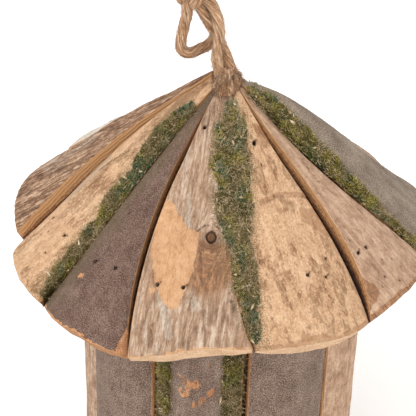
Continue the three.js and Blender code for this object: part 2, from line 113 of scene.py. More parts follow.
# Moss on wall joints, as in the CAD: joint, width to the left, width to the right.
WALL_MOSS = ((1, 0, 6.9), (2, 9, 0), (5, 0, 8), (6, 8, 0))

# Routes of the hanger, as in the CAD, in millimetres.
LEG_LINE = (
    (0, 0, 160), (0, 0, 185), (0, 0, 210), (0, 0, 235), (-0.3, 0, 248), (-1.7, -0.2, 256),
    (-4.2, -0.6, 265), (-5.9, -0.9, 273.5), (-7.6, -1.1, 281), (-10.6, -1.6, 289),
    (-14.5, -2.2, 295.5), (-18.5, -2.8, 299),
)
LEG_TURN = (8.5, 8.5, 8.5, 8.5, 8.5, 20, 55, 98, 140, 178, 188, 188)
LOOP_LINE = (
    (-20.6, -4.6, 297), (-21, -5.4, 289.5), (-22.4, -5.2, 282), (-23.8, -4.8, 274.5),
    (-23.8, -3.8, 269), (-20.6, -1.6, 266), (-16.4, 3, 266), (-12, 8.4, 266.8),
    (-8.6, 11, 271.2), (-8.4, 11.2, 278.5), (-10.8, 10, 287), (-14.4, 6, 294), (-17.4, 1.4, 298),
)

# ---------------------------------------------------------------------- small helpers


def polar(bearing, radius):
    """Plan point at a bearing in degrees and a radius, as an array ending in (x, y)."""
    angle = np.radians(bearing)
    return np.stack([radius * np.sin(angle), -radius * np.cos(angle)], -1)


def along_joint(values, radius):
    """The parabola through three values given at JOINT_RADII."""
    a, b, c = JOINT_RADII
    wa = (radius - b) * (radius - c) / ((a - b) * (a - c))
    wb = (radius - a) * (radius - c) / ((b - a) * (b - c))
    wc = (radius - a) * (radius - b) / ((c - a) * (c - b))
    return values[0] * wa + values[1] * wb + values[2] * wc


def smoothstep(low, high, x):
    t = np.clip((x - low) / (high - low), 0, 1)
    return t * t * (3 - 2 * t)


def lattice(ix, iy, seed):
    """A repeatable number from 0 to 1 for each whole-number pair."""
    h = (ix * 374761393 + iy * 668265263 + seed * 974634777) & 0xFFFFFFFF
    h = ((h ^ (h >> 13)) * 1274126177) & 0xFFFFFFFF
    return ((h ^ (h >> 16)) & 0xFFFF) / 65535.0


def value_noise(x, y, seed):
    """Smooth noise from -1 to 1 with features one unit across."""
    x, y = np.broadcast_arrays(np.asarray(x, float), np.asarray(y, float))
    ix = np.floor(x).astype(np.int64)
    iy = np.floor(y).astype(np.int64)
    fx = x - ix
    fy = y - iy
    fx = fx * fx * (3 - 2 * fx)
    fy = fy * fy * (3 - 2 * fy)
    low = lattice(ix, iy, seed) * (1 - fx) + lattice(ix + 1, iy, seed) * fx
    high = lattice(ix, iy + 1, seed) * (1 - fx) + lattice(ix + 1, iy + 1, seed) * fx
    return 2 * (low * (1 - fy) + high * fy) - 1


def fbm(x, y, seed, octaves=3):
    total = 0
    weight = 1.0
    norm = 0.0
    for octave in range(octaves):
        scale = 2 ** octave
        total = total + weight * value_noise(x * scale, y * scale, seed + 31 * octave)
        norm += weight
        weight *= 0.5
    return total / norm


def ridges(x, y, seed, octaves=3):
    """1 along winding crests and falling away to 0 between them."""
    return 1 - np.abs(fbm(x, y, seed, octaves)) * 2.2


def srgb(red, green, blue):
    """A linear colour from 0-255 screen values."""
    channels = []
    for value in (red, green, blue):
        c = value / 255
        channels.append(c / 12.92 if c <= 0.04045 else ((c + 0.055) / 1.055) ** 2.4)
    return (*channels, 1.0)


# --------------------------------------------------------------------- mesh building

POINT_VALUES = ("accent", "bark", "brown", "grey", "mark", "moss_dust", "ring", "tint")


class Skin:
    """A mesh put together from grids of points that share their edges."""

    def __init__(self):
        self.points = np.zeros((0, 3))
        self.grain = np.zeros((0, 3))
        self.values = {key: np.zeros(0) for key in POINT_VALUES}
        self.faces = []
        self.slots = []

    def add(self, points, grain=None, **values):
        """Adds points and gives back their indices in the same layout."""
        shape = points.shape[:-1]
        count = int(np.prod(shape))
        start = len(self.points)
        self.points = np.concatenate([self.points, points.reshape(-1, 3)])
        grain = points if grain is None else grain
        self.grain = np.concatenate([self.grain, grain.reshape(-1, 3)])
        for key in POINT_VALUES:
            value = np.broadcast_to(values.get(key, 0.0), shape).reshape(-1)
            self.values[key] = np.concatenate([self.values[key], value])
        return np.arange(start, start + count).reshape(shape)

    def sheet(self, index, slot=0, flip=False):
        """Faces over a grid of indices."""
        corners = [index[:-1, :-1], index[1:, :-1], index[1:, 1:], index[:-1, 1:]]
        quads = np.stack(corners, -1).reshape(-1, 4)
        if flip:
            quads = quads[:, ::-1]
        self.faces.append(quads)
        self.slots.append(np.full(len(quads), slot))

    def fan(self, triangles, slot=0):
        self.faces.append(triangles)
        self.slots.append(np.full(len(triangles), slot))

    def strip(self, first, last, steps, ends=None, push=None, age=0.0):
        """A grid between two lines of points; ends gives its first and last columns.
        push(grain) moves the new points, as an array of offsets; the last argument browns them with
        weathering and adds painted shade that deepens away from the first line, into the joint."""
        shares = (np.arange(1, steps) / steps) ** 1.4
        inner = slice(None) if ends is None else slice(1, -1)
        top = first[inner]
        low = last[inner]
        weight = shares[:, None, None]
        points = self.points[top] * (1 - weight) + self.points[low] * weight
        grain = self.grain[top] * (1 - weight) + self.grain[low] * weight
        ring = self.values["ring"][top] * (1 - shares[:, None])
        ring = ring + self.values["ring"][low] * shares[:, None]
        if push is not None:
            points = points + push(grain)
        # Painted shade: side points get darker the further they lie from the outer face, deeper in the
        # joint.
        aged_and_shaded = age * (0.6 + 0.6 * smoothstep(0.1, 0.7, shares[:, None])) + 0 * ring
        middle = self.add(points, grain, ring=ring, bark=aged_and_shaded)
        if ends is not None:
            middle = np.concatenate([ends[0][1:-1, None], middle, ends[1][1:-1, None]], 1)
        return np.concatenate([first[None], middle, last[None]])

    def build(self, name, materials):
        """The mesh object, in metres."""
        mesh = bpy.data.meshes.new(name)
        sizes = np.concatenate([np.full(len(f), f.shape[1]) for f in self.faces])
        corners = np.concatenate([f.reshape(-1) for f in self.faces]).astype(np.int32)
        mesh.vertices.add(len(self.points))
        mesh.vertices.foreach_set("co", (self.points * MM).reshape(-1).astype(np.float32))
        mesh.loops.add(len(corners))
        mesh.loops.foreach_set("vertex_index", corners)
        mesh.polygons.add(len(sizes))
        starts = np.concatenate([[0], np.cumsum(sizes)[:-1]]).astype(np.int32)
        mesh.polygons.foreach_set("loop_start", starts)
        mesh.polygons.foreach_set("material_index", np.concatenate(self.slots).astype(np.int32))
        mesh.polygons.foreach_set("use_smooth", np.ones(len(sizes), dtype=bool))
        mesh.update(calc_edges=True)
        grain = mesh.attributes.new("grain", "FLOAT_VECTOR", "POINT")
        grain.data.foreach_set("vector", self.grain.reshape(-1).astype(np.float32))
        for key, value in self.values.items():
            if np.any(value):
                attribute = mesh.attributes.new(key, "FLOAT", "POINT")
                attribute.data.foreach_set("value", value.astype(np.float32))
        for material in materials:
            mesh.materials.append(material)
        piece = bpy.data.objects.new(name, mesh)
        bpy.context.scene.collection.objects.link(piece)
        return piece


def grid_normals(points):
    """Unit normals of a grid of points, from its neighbours."""
    down = np.gradient(points, axis=0)
    across = np.gradient(points, axis=1)
    normal = np.cross(down, across)
    return normal / np.linalg.norm(normal, axis=-1, keepdims=True)


def close_slab(skin, outer, inner, steps, end_push, side_age_and_shade):
    """Closes a slab between its outer and inner grids with sawn ends, and with sides browned by weathering
    and painted darker towards the underside as shade in the joints.
    """
    skin.sheet(outer, 0)
    skin.sheet(inner, 1, flip=True)
    left = skin.strip(outer[:, 0], inner[:, 0], steps, age=side_age_and_shade)
    right = skin.strip(outer[:, -1], inner[:, -1], steps, age=side_age_and_shade)
    start = skin.strip(outer[0], inner[0], steps, (left[:, 0], right[:, 0]))
    end = skin.strip(outer[-1], inner[-1], steps, (left[:, -1], right[:, -1]), end_push)
    skin.sheet(left, 1)
    skin.sheet(right, 1, flip=True)
    skin.sheet(start, 1, flip=True)
    skin.sheet(end, 1)


# --------------------------------------------------------------------- node materials


class Nodes:
    """Short names for the shader nodes that the materials use."""

    def __init__(self, name):
        self.material = bpy.data.materials.new(name)
        self.material.use_nodes = True
        self.tree = self.material.node_tree
        self.shader = self.tree.nodes["Principled BSDF"]

    def put(self, socket, value):
        if isinstance(value, bpy.types.NodeSocket):
            self.tree.links.new(value, socket)
        else:
            socket.default_value = value

    def attribute(self, name, output="Fac"):
        node = self.tree.nodes.new("ShaderNodeAttribute")
        node.attribute_name = name
        return node.outputs[output]

    def object_millimetres(self):
        node = self.tree.nodes.new("ShaderNodeTexCoord")
        return self.stretch(node.outputs["Object"], (MM, MM, MM))

    def stretch(self, vector, sizes):
        """The vector divided by a feature size along each axis."""
        node = self.tree.nodes.new("ShaderNodeVectorMath")
        node.operation = "DIVIDE"
        self.put(node.inputs[0], vector)
        node.inputs[1].default_value = sizes
        return node.outputs["Vector"]

    def noise(self, vector, sizes, detail=4.0, roughness=0.55, distortion=0.0):
        node = self.tree.nodes.new("ShaderNodeTexNoise")
        self.put(node.inputs["Vector"], self.stretch(vector, sizes))
        node.inputs["Scale"].default_value = 1.0
        node.inputs["Detail"].default_value = detail
        node.inputs["Roughness"].default_value = roughness
        node.inputs["Distortion"].default_value = distortion
        return node.outputs["Fac"]

    def math(self, operation, a, b=0.0, clamp=False):
        node = self.tree.nodes.new("ShaderNodeMath")
        node.operation = operation
        node.use_clamp = clamp
        self.put(node.inputs[0], a)
        self.put(node.inputs[1], b)
        return node.outputs["Value"]

    def blend(self, shares):
        """The weighted sum of several values: [(value, weight), ...]."""
        total = None
        for value, weight in shares:
            part = self.math("MULTIPLY", value, weight)
            total = part if total is None else self.math("ADD", total, part)
        return total

    def between(self, value, low, high):
        """0 below low, 1 above high."""
        node = self.tree.nodes.new("ShaderNodeMapRange")
        node.interpolation_type = "SMOOTHSTEP"
        self.put(node.inputs["Value"], value)
        node.inputs["From Min"].default_value = low
        node.inputs["From Max"].default_value = high
        return node.outputs["Result"]

    def ramp(self, value, stops):
        node = self.tree.nodes.new("ShaderNodeValToRGB")
        self.put(node.inputs["Fac"], value)
        elements = node.color_ramp.elements
        elements[0].position, elements[0].color = stops[0]
        elements[1].position, elements[1].color = stops[-1]
        for position, colour in stops[1:-1]:
            elements.new(position).color = colour
        return node.outputs["Color"]

    def mix(self, share, a, b, mode="MIX"):
        node = self.tree.nodes.new("ShaderNodeMix")
        node.data_type = "RGBA"
        node.blend_type = mode
        self.put(node.inputs["Factor"], share)
        self.put(node.inputs[6], a)
        self.put(node.inputs[7], b)
        return node.outputs[2]

    def bump(self, height, distance, strength=1.0, below=None):
        node = self.tree.nodes.new("ShaderNodeBump")
        node.inputs["Strength"].default_value = strength
        node.inputs["Distance"].default_value = distance
        self.put(node.inputs["Height"], height)
        if below is not None:
            self.put(node.inputs["Normal"], below)
        return node.outputs["Normal"]

    def finish(self, colour, roughness, normal, specular=0.25):
        self.put(self.shader.inputs["Base Color"], colour)
        self.put(self.shader.inputs["Roughness"], roughness)
        self.put(self.shader.inputs["Normal"], normal)
        self.shader.inputs["Specular IOR Level"].default_value = specular
        return self.material


# Each kind: colours of its bark or weathered skin; colours of its bare wood; how much of the
# pattern comes from speckle, mottling, streaks along the grain and broad clouds; speckle
# size in mm across and along; depth of the fine relief in mm; and how soft the pattern is.
SURFACES = {
    "dark": (((80, 57, 48), (112, 87, 76), (152, 128, 115)),
             ((150, 96, 62), (196, 140, 98), (224, 176, 136)),
             (0.6, 0.2, 0.05, 0.15), (0.5, 0.7), 0.25, 0.11),
    "grey": (((94, 78, 66), (134, 117, 102), (170, 154, 138)),
             ((150, 104, 72), (196, 150, 112), (226, 184, 146)),
             (0.6, 0.15, 0.05, 0.2), (0.5, 0.7), 0.2, 0.11),
    "dusty": (((80, 60, 50), (124, 102, 89), (170, 150, 136)),
              ((150, 96, 62), (190, 134, 94), (220, 172, 134)),
              (0.65, 0.15, 0.1, 0.1), (0.5, 0.8), 0.3, 0.1),
    "weathered": (((104, 74, 54), (174, 142, 117), (226, 202, 180)),
                  ((172, 124, 84), (206, 158, 118), (224, 182, 142)),
                  (0.15, 0.2, 0.55, 0.1), (0.7, 2.0), 0.35, 0.16),
    "tan": (((124, 86, 58), (166, 128, 96), (200, 164, 130)),
            ((172, 130, 96), (206, 166, 130), (232, 196, 160)),
            (0.2, 0.35, 0.2, 0.25), (0.8, 1.3), 0.3, 0.13),
    "streaked": (((130, 98, 76), (182, 147, 121), (214, 184, 158)),
                 ((148, 110, 84), (202, 167, 140), (232, 204, 180)),
                 (0.2, 0.3, 0.35, 0.15), (0.7, 1.6), 0.3, 0.14),
    "pale": (((132, 114, 96), (186, 172, 156), (218, 206, 192)),
             ((176, 160, 142), (210, 196, 180), (232, 222, 208)),
             (0.3, 0.3, 0.25, 0.15), (0.8, 2.0), 0.2, 0.15),
    "rough": (((80, 54, 40), (150, 114, 88), (222, 188, 158)),
              ((120, 80, 52), (178, 132, 96), (220, 180, 144)),
              (0.15, 0.25, 0.5, 0.1), (0.8, 2.0), 0.5, 0.11),
}


def slab_surface(kind):
    """Outer face of a slab: its skin of bark, bare wood where that has gone, and stains."""
    skin_colours, wood_colours, shares, (across, along), depth, soft = SURFACES[kind]
    g = Nodes("surface_" + kind)
    grain = g.attribute("grain", "Vector")
    speckle = g.noise(grain, (across, along, across), 4.0, 0.7)
    mottle = g.noise(grain, (3.4, 5.5, 3.4), 7.0, 0.72)
    streak = g.noise(grain, (2.0, 15.0, 2.0), 8.0, 0.74, 0.3)
    cloud = g.noise(grain, (11.0, 20.0, 11.0), 3.0)
    patterns = (speckle, mottle, streak, cloud)
    skin_tone = g.blend(zip(patterns, shares))
    skin_colour = g.ramp(g.between(skin_tone, 0.5 - soft, 0.5 + soft), stops(skin_colours))
    wood_tone = g.blend(zip(patterns, (0.35, 0.3, 0.2, 0.15)))
    wood_colour = g.ramp(g.between(wood_tone, 0.5 - soft, 0.5 + soft), stops(wood_colours))
    ragged = g.noise(grain, (1.2, 2.4, 1.2), 6.0, 0.7)
    edge = g.blend([(g.attribute("bark"), 1.0), (ragged, 1.1)])
    skin_share = g.between(edge, 0.92, 1.12)
    colour = g.mix(skin_share, wood_colour, skin_colour)
    fray = g.blend([(ragged, 0.5), (streak, 0.5)])
    grey = g.between(g.blend([(g.attribute("grey"), 0.5), (fray, 1.0)]), 0.62, 0.9)
    silver = g.ramp(g.between(fray, 0.38, 0.62), stops(
        ((150, 130, 112), (186, 168, 150), (218, 204, 188))))
    colour = g.mix(g.math("MULTIPLY", grey, 0.7), colour, silver)
    brown = g.between(g.blend([(g.attribute("brown"), 0.5), (fray, 1.0)]), 0.62, 0.9)
    umber = g.ramp(g.between(fray, 0.38, 0.62), stops(
        ((94, 62, 42), (146, 102, 70), (188, 140, 100))))
    colour = g.mix(g.math("MULTIPLY", brown, 0.85), colour, umber)
    flecks = g.between(g.noise(grain, (0.6, 1.2, 0.6), 2.0), 0.64, 0.72)
    colour = g.mix(g.math("MULTIPLY", flecks, 0.4), colour, srgb(92, 60, 40))
    lime = g.between(g.noise(grain, (0.7, 0.7, 0.7), 1.0), 0.66, 0.74)
    colour = g.mix(g.math("MULTIPLY", lime, 0.45), colour, srgb(206, 190, 174))
    crumb = g.noise(grain, (0.55, 0.7, 0.55), 3.0, 0.6)
    dust = g.between(g.blend([(g.attribute("moss_dust"), 0.14), (crumb, 1.0)]), 0.66, 0.72)
    colour = g.mix(g.math("MULTIPLY", dust, 0.75), colour, srgb(98, 88, 54))
    if kind == "dark":
        haze = g.math("MULTIPLY", g.between(g.blend([(g.attribute("moss_dust"), 1.0), (mottle, -1.2)]), -0.35, 0.6), 0.28)
        colour = g.mix(haze, colour, srgb(106, 98, 70))
    mark = g.between(g.attribute("mark"), 0.05, 0.95)
    colour = g.mix(mark, colour, srgb(44, 27, 17))
    relief = g.blend([(speckle, 0.45), (mottle, 0.3), (streak, 0.25)])
    normal = g.bump(relief, depth * MM * 4.0, 1.0)
    return g.finish(colour, g.between(relief, -1.2, 0.9), normal)


def stops(colours):
    """The colours spread evenly over a ramp."""
    places = np.linspace(0.0, 1.0, len(colours))
    return [(float(place), srgb(*colour)) for place, colour in zip(places, colours)]


def sawn_wood(name, colours):
    """Cut faces of a slab: growth rings and long fibres; on the sides, browner with weathering and darker
    with painted shade deeper into the joints.
    """
    g = Nodes(name)
    grain = g.attribute("grain", "Vector")
    ring = g.attribute("ring")
    wobble = g.noise(grain, (12.0, 40.0, 12.0), 2.0)
    rings = g.math("SINE", g.math("MULTIPLY", g.blend([(ring, 1.0), (wobble, 5.0)]), 4.2))
    fibre = g.noise(grain, (0.5, 10.0, 0.5), 5.0, 0.6)
    cloud = g.noise(grain, (7.0, 14.0, 7.0), 3.0)
    tone = g.blend([(rings, 0.05), (fibre, 0.75), (cloud, 0.25)])
    colour = g.ramp(g.between(tone, 0.32, 0.68), stops(colours))
    grit = g.noise(grain, (0.9, 1.6, 0.9), 5.0, 0.7)
    # On the sides the bark value carries weathering and painted shade: browner, then near black deep in
    # the joint.
    age = g.attribute("bark")
    aged_and_shaded = g.ramp(g.blend([(age, 1.0), (grit, -0.75), (fibre, -0.35), (cloud, -0.15)]), [
        (0.0, srgb(190, 144, 100)), (0.12, srgb(150, 104, 68)), (0.28, srgb(104, 68, 46)),
        (0.48, srgb(46, 30, 21)),
    ])
    colour = g.mix(g.between(age, 0.05, 0.3), colour, aged_and_shaded)
    normal = g.bump(g.blend([(fibre, 0.5), (grit, 0.5), (rings, 0.15)]), 0.8 * MM, 1.0)
    return g.finish(colour, g.between(cloud, -1.5, 1.0), normal)


def board_material():
    """Sawn softwood of the discs, block and cover, with its grain along X."""
    g = Nodes("sawn_board")
    place = g.object_millimetres()
    fibre = g.noise(place, (22.0, 0.6, 0.6), 5.0, 0.6)
    bands = g.noise(place, (70.0, 5.0, 5.0), 3.0, 0.5, 0.8)
    tone = g.blend([(fibre, 0.5), (bands, 0.5)])
    colour = g.ramp(g.between(tone, 0.34, 0.66),
                    stops(((168, 124, 82), (206, 166, 122), (230, 198, 158))))
    normal = g.bump(fibre, 0.3 * MM, 0.7)
    return g.finish(colour, g.between(bands, -1.4, 1.0), normal)


def steel_material():
    g = Nodes("rusty_steel")
    place = g.object_millimetres()
    rust = g.between(g.noise(place, (0.9, 0.9, 0.9), 4.0), 0.34, 0.56)
    colour = g.mix(rust, srgb(84, 72, 62), srgb(58, 34, 22))
    normal = g.bump(g.noise(place, (0.4, 0.4, 0.4), 3.0), 0.1 * MM, 0.5)
    g.shader.inputs["Metallic"].default_value = 0.3
    return g.finish(colour, g.between(rust, -1.5, 1.2), normal, 0.4)


def moss_material():
    """Dried moss: every strand has its own tint, and some tufts are yellow-green or teal."""
    g = Nodes("dried_moss")
    grain = g.attribute("grain", "Vector")
    clump = g.noise(grain, (3.6, 3.6, 3.6), 3.0, 0.7)
    tint = g.blend([(g.attribute("tint"), 0.85), (g.between(clump, 0.3, 0.7), 0.15)])
    dry = g.ramp(tint, stops((
        (44, 36, 18), (84, 74, 42), (112, 99, 60), (132, 117, 76), (148, 131, 92),
        (166, 146, 108), (196, 172, 134), (236, 214, 182))))
    lively = g.ramp(tint, stops(((60, 60, 22), (124, 122, 42), (176, 162, 60), (216, 198, 112))))
    deep = g.ramp(tint, stops(((26, 42, 26), (52, 84, 58), (92, 122, 94), (140, 156, 124))))
    accent = g.attribute("accent")
    colour = g.mix(g.math("MULTIPLY", g.between(accent, 0.2, 0.4), 0.8), dry, lively)
    colour = g.mix(g.between(accent, 0.65, 0.85), colour, deep)
    # Painted shade: strands darken towards their roots, and the base pad is darkest, from the bark value.
    shade = g.between(g.attribute("bark"), -0.8, 0.45)
    colour = g.mix(shade, srgb(40, 33, 18), colour)
    normal = g.bump(g.noise(grain, (0.5, 0.5, 0.5), 3.0), 0.2 * MM, 0.6)
    return g.finish(colour, g.between(clump, -3.0, 1.0), normal, 0.12)


def jute_material():
    """Loose jute: fine wavy fibres along the strand, tan with darker threads and gaps, and painted shade
    in the grooves of the twine.
    """
    g = Nodes("jute")
    grain = g.attribute("grain", "Vector")
    fibre = g.noise(grain, (0.42, 5.0, 0.42), 6.0, 0.7, 0.8)
    clump = g.noise(grain, (1.6, 14.0, 1.6), 4.0, 0.6, 0.6)
    tone = g.blend([(fibre, 0.65), (clump, 0.35)])
    colour = g.ramp(g.between(tone, 0.39, 0.61), stops(
        ((108, 68, 40), (178, 130, 90), (214, 172, 134), (240, 214, 186))))
    gaps = g.between(g.noise(grain, (0.6, 4.5, 0.6), 3.0), 0.58, 0.66)
    colour = g.mix(g.math("MULTIPLY", gaps, 0.6), colour, srgb(96, 58, 34))
    # The mark value holds darker loose fibres and, on the twine and knots, painted shade in the grooves
    # between plies.
    dark = g.between(g.attribute("mark"), 0.0, 1.0)
    colour = g.mix(g.math("MULTIPLY", dark, 0.8), colour, srgb(98, 62, 38))
    normal = g.bump(tone, 0.8 * MM, 1.0)
    g.shader.inputs["Sheen Weight"].default_value = 0.15
    return g.finish(colour, g.between(clump, -2.5, 1.0), normal, 0.15)


MATERIALS = {kind: slab_surface(kind) for kind in SURFACES}
CUT_PALE = sawn_wood("cut_pale", ((180, 134, 94), (216, 177, 141), (238, 208, 176)))
CUT_WARM = sawn_wood("cut_warm", ((128, 82, 50), (178, 126, 84), (210, 164, 120)))
BOARD = board_material()
STEEL = steel_material()
MOSS = moss_material()
JUTE = jute_material()

BARKED = ("rough", "dark", "grey", "dusty")

# How brown and dark the sides of each kind of slab are painted: partly browning with weathering, partly
# painted shade that deepens into the joints between slabs.
SIDE_AGE_AND_SHADE = {
    "pale": 0.7, "tan": 0.8, "streaked": 1.0, "weathered": 1.15, "rough": 0.76, "dark": 0.95,
    "grey": 1.0, "dusty": 0.8,
}

# -------------------------------------------------------------------- camera and light


def make_camera():
    """The photograph's view: 33 degrees above the horizon, 8.5 round to the right."""
    elevation = math.radians(33.0)
    azimuth = math.radians(8.5)
    roll = math.radians(1.7)
    target = Vector((-9.2, 3.5, 172.4)) * MM
    distance = 748.7 * MM
    back = Vector((
        math.sin(azimuth) * math.cos(elevation),
        -math.cos(azimuth) * math.cos(elevation),
        math.sin(elevation),
    ))
    right = Vector((math.cos(azimuth), math.sin(azimuth), 0.0))
    up = back.cross(right)
    level = Matrix((right, up, back)).transposed().to_4x4()
    data = bpy.data.cameras.new("camera")
    data.sensor_width = 36.0
    data.lens = 121.15
    data.clip_start = 0.01
    camera = bpy.data.objects.new("camera", data)
    camera.matrix_world = (
        Matrix.Translation(target + back * distance) @ level @ Matrix.Rotation(roll, 4, "Z")
    )
    bpy.context.scene.collection.objects.link(camera)
    bpy.context.scene.camera = camera


FLOOR_GLOW = 0.13         # lifts the floor to the white of the surroundings


def make_stage():
    """Pale floor, even white surroundings and one large soft light from the upper left."""
    scene = bpy.context.scene
    scene.view_settings.view_transform = "Standard"
    world = bpy.data.worlds.new("studio")
    world.use_nodes = True
    world.node_tree.nodes["Background"].inputs["Color"].default_value = (1.0, 1.0, 0.985, 1.0)
    world.node_tree.nodes["Background"].inputs["Strength"].default_value = 1.0
    scene.world = world
    mesh = bpy.data.meshes.new("floor")
    half = 8.0
    mesh.from_pydata([(-half, -half, 0), (half, -half, 0), (half, half, 0), (-half, half, 0)],
                     [], [(0, 1, 2, 3)])
    g = Nodes("pale_floor")
    place = g.object_millimetres()
    tone = g.noise(place, (400.0, 400.0, 400.0), 2.0)
    g.shader.inputs["Emission Color"].default_value = (1.0, 1.0, 1.0, 1.0)
    g.shader.inputs["Emission Strength"].default_value = FLOOR_GLOW
    g.finish(g.ramp(tone, [(0.0, (0.97, 0.97, 0.96, 1)), (1.0, (1.0, 1.0, 0.99, 1))]),
             0.9, g.bump(tone, 0.01 * MM, 0.1), 0.1)
    mesh.materials.append(g.material)
    floor = bpy.data.objects.new("floor", mesh)
    scene.collection.objects.link(floor)
    for name, place, size, power in (
        ("key", (-0.9, -1.1, 1.7), 0.9, 14.0),
        ("fill", (1.3, -0.9, 1.1), 1.2, 5.0),
    ):
        data = bpy.data.lights.new(name, "AREA")
        data.shape = "DISK"
        data.size = size
        data.energy = power
        light = bpy.data.objects.new(name, data)
        light.location = place
        light.rotation_euler = (Vector((0, 0, 0.2)) - Vector(place)).to_track_quat("-Z", "Y").to_euler()
        scene.collection.objects.link(light)


make_camera()
make_stage()

# -------------------------------------------------------------------------- the hanger


def smooth_line(points, step):
    """Points every step along a smooth curve through the given ones."""
    points = np.asarray(points, float)
    padded = np.concatenate([[2 * points[0] - points[1]], points, [2 * points[-1] - points[-2]]])
    line = []
    for i in range(1, len(padded) - 2):
        a, b, c, d = padded[i - 1:i + 3]
        t = np.linspace(0, 1, 24, endpoint=False)[:, None]
        line.append(0.5 * (2 * b + (c - a) * t + (2 * a - 5 * b + 4 * c - d) * t ** 2
                           + (3 * b - a - 3 * c + d) * t ** 3))
    line = np.concatenate(line + [points[-1:]])
    travel = np.concatenate([[0], np.cumsum(np.linalg.norm(np.diff(line, axis=0), axis=1))])
    even = np.linspace(0, travel[-1], max(3, int(travel[-1] / step)))
    return np.stack([np.interp(even, travel, line[:, k]) for k in range(3)], 1), even


def strand_skin(skin, line, travel, radius, seed, sides=40, lay=52.0):
    """A strand of loose fibres wound round its line once every lay mm."""
    along = np.gradient(line, axis=0)
    along /= np.linalg.norm(along, axis=1, keepdims=True)
    side = np.zeros_like(along)
    start = np.cross(along[0], (0.3, 0.9, 0.1))
    side[0] = start / np.linalg.norm(start)
    for i in range(1, len(line)):
        turned = side[i - 1] - along[i] * np.dot(side[i - 1], along[i])
        side[i] = turned / np.linalg.norm(turned)
    other = np.cross(along, side)
    angle = np.linspace(0, 2 * np.pi, sides, endpoint=False)[None, :]
    wound = angle + 2 * np.pi * travel[:, None] / lay
    # Noise round the strand has to close on itself, so it is read on a circle.
    cx = np.cos(wound) * radius
    cy = np.sin(wound) * radius
    s = travel[:, None]
    threads = fbm(cx / 0.55 + s / 14, cy / 0.55, seed) + fbm(cx / 0.9, cy / 0.9 + s / 17, seed + 5)
    plies = np.abs(np.sin(wound * 1.5 + 0.4 * value_noise(s / 9, 0, seed)))
    swell = value_noise(s / 16, 0.5, seed + 9)
    fine = fbm(cx / 0.3, cy / 0.3 + s / 8, seed + 7) + fbm(cx / 0.5 + s / 6, cy / 0.5, seed + 8)
    reach = radius * (0.98 + 0.05 * plies + 0.06 * threads + 0.05 * swell + 0.04 * fine)
    rim = np.cos(angle)[..., None] * side[:, None] + np.sin(angle)[..., None] * other[:, None]
    points = line[:, None] + rim * reach[..., None]
    grain = np.stack([cx * 2 + 40 * seed, s + 0 * cx, cy * 2], -1)
    # Painted shade: the grooves between the plies and the dents between threads are darkened.
    dark = smoothstep(0.45, 0.95, 1 - plies) * 0.4 + smoothstep(0.2, 0.6, -threads) * 0.3
    index = skin.add(points, grain, mark=dark)
    loop = np.concatenate([index, index[:, :1]], 1)
    skin.sheet(loop, 0)
    for row, flip in ((0, False), (-1, True)):
        tip = skin.add(line[row][None], grain[row].mean(0)[None], mark=0.6)
        ring = loop[row]
        fan = np.stack([np.full(sides, tip[0]), ring[:-1], ring[1:]], 1)
        skin.fan(fan[:, ::-1] if flip else fan)


def leg_points(side):
    turn = np.radians(LEG_TURN)
    reach = side * LEG_SPACING / 2
    offset = np.stack([reach * np.cos(turn), reach * np.sin(turn), 0 * turn], 1)
    return np.asarray(LEG_LINE, float) + offset


def knot_points(centre, size, axis, turn):
    """An overhand knot drawn tight, wound round its axis, inside an ellipsoid."""
    t = np.linspace(0, 2 * np.pi, 80)
    wide = 0.64 + 0.36 * np.cos(3 * t)
    knot = np.stack([wide * np.cos(2 * t), wide * np.sin(2 * t), np.sin(3 * t)], 1)
    knot *= (np.asarray(size) - TWINE_DIAMETER / 2)
    spin = Matrix.Rotation(math.radians(turn), 3, "Z")
    lean = Vector((0, 0, 1)).rotation_difference(Vector(axis)).to_matrix() @ spin
    return knot @ np.array(lean).T + np.asarray(centre)


def fibres(skin, roots, directions, lengths, widths, bends, shade, **values):
    """Thin closed strands that taper to a point: three corners at the root, three half
    way and one at the tip."""
    directions = directions / np.linalg.norm(directions, axis=1, keepdims=True)
    helper = np.where(np.abs(directions[:, 2:]) > 0.8, [[1.0, 0, 0]], [[0, 0, 1.0]])
    side = np.cross(directions, helper)
    side /= np.linalg.norm(side, axis=1, keepdims=True)
    other = np.cross(directions, side)
    middle = roots + directions * lengths[:, None] * 0.5 + bends * 0.35
    tips = roots + directions * lengths[:, None] + bends
    corners = []
    for centre, share in ((roots, 1.0), (middle, 0.8)):
        for k in range(3):
            angle = 2 * np.pi * k / 3
            arm = side * math.cos(angle) + other * math.sin(angle)
            corners.append(centre + arm * (widths * share / 2)[:, None])
    corners.append(tips)
    # The bark value runs from 0.1 at the root to 1 at the tip; the moss paints the low end as shade among
    # the strands.
    level = np.array([0.1, 0.1, 0.1, 0.7, 0.7, 0.7, 1.0])[None] + shade[:, None]
    each = {key: np.repeat(value[:, None], 7, 1) for key, value in values.items()}
    index = skin.add(np.stack(corners, 1), bark=level, **each)
    quads = []
    triangles = [index[:, [0, 2, 1]]]
    for k in range(3):
        n = (k + 1) % 3
        quads.append(index[:, [k, n, 3 + n, 3 + k]])
        triangles.append(index[:, [3 + k, 3 + n, 6]])
    skin.fan(np.concatenate(quads))
    skin.fan(np.concatenate(triangles))


def collar_surface(down, angle):
    """The wad round the legs: down 0 to 1 from the legs to the slab tips, widest in front."""
    cx, cy = np.cos(angle), np.sin(angle)
    front = np.maximum(-cy, 0) ** 2
    rough = fbm(cx * 4 + 7, cy * 4 + down * 2.5, 61, 4) + 0.6 * fbm(cx * 12, cy * 12 + down, 62)
    end = 6.0 + 6.5 * front
    radius = 4.2 + (end - 4.2) * down ** 1.3 + 0.6 * rough * down
    foot = 258.6 - 0.74 * end
    height = COLLAR_TOP - (COLLAR_TOP - foot) * down ** 0.75 + 0.5 * rough
    points = np.stack([radius * cx - 0.4 - 1.3 * (1 - down), radius * cy, height], -1)
    return points, rough


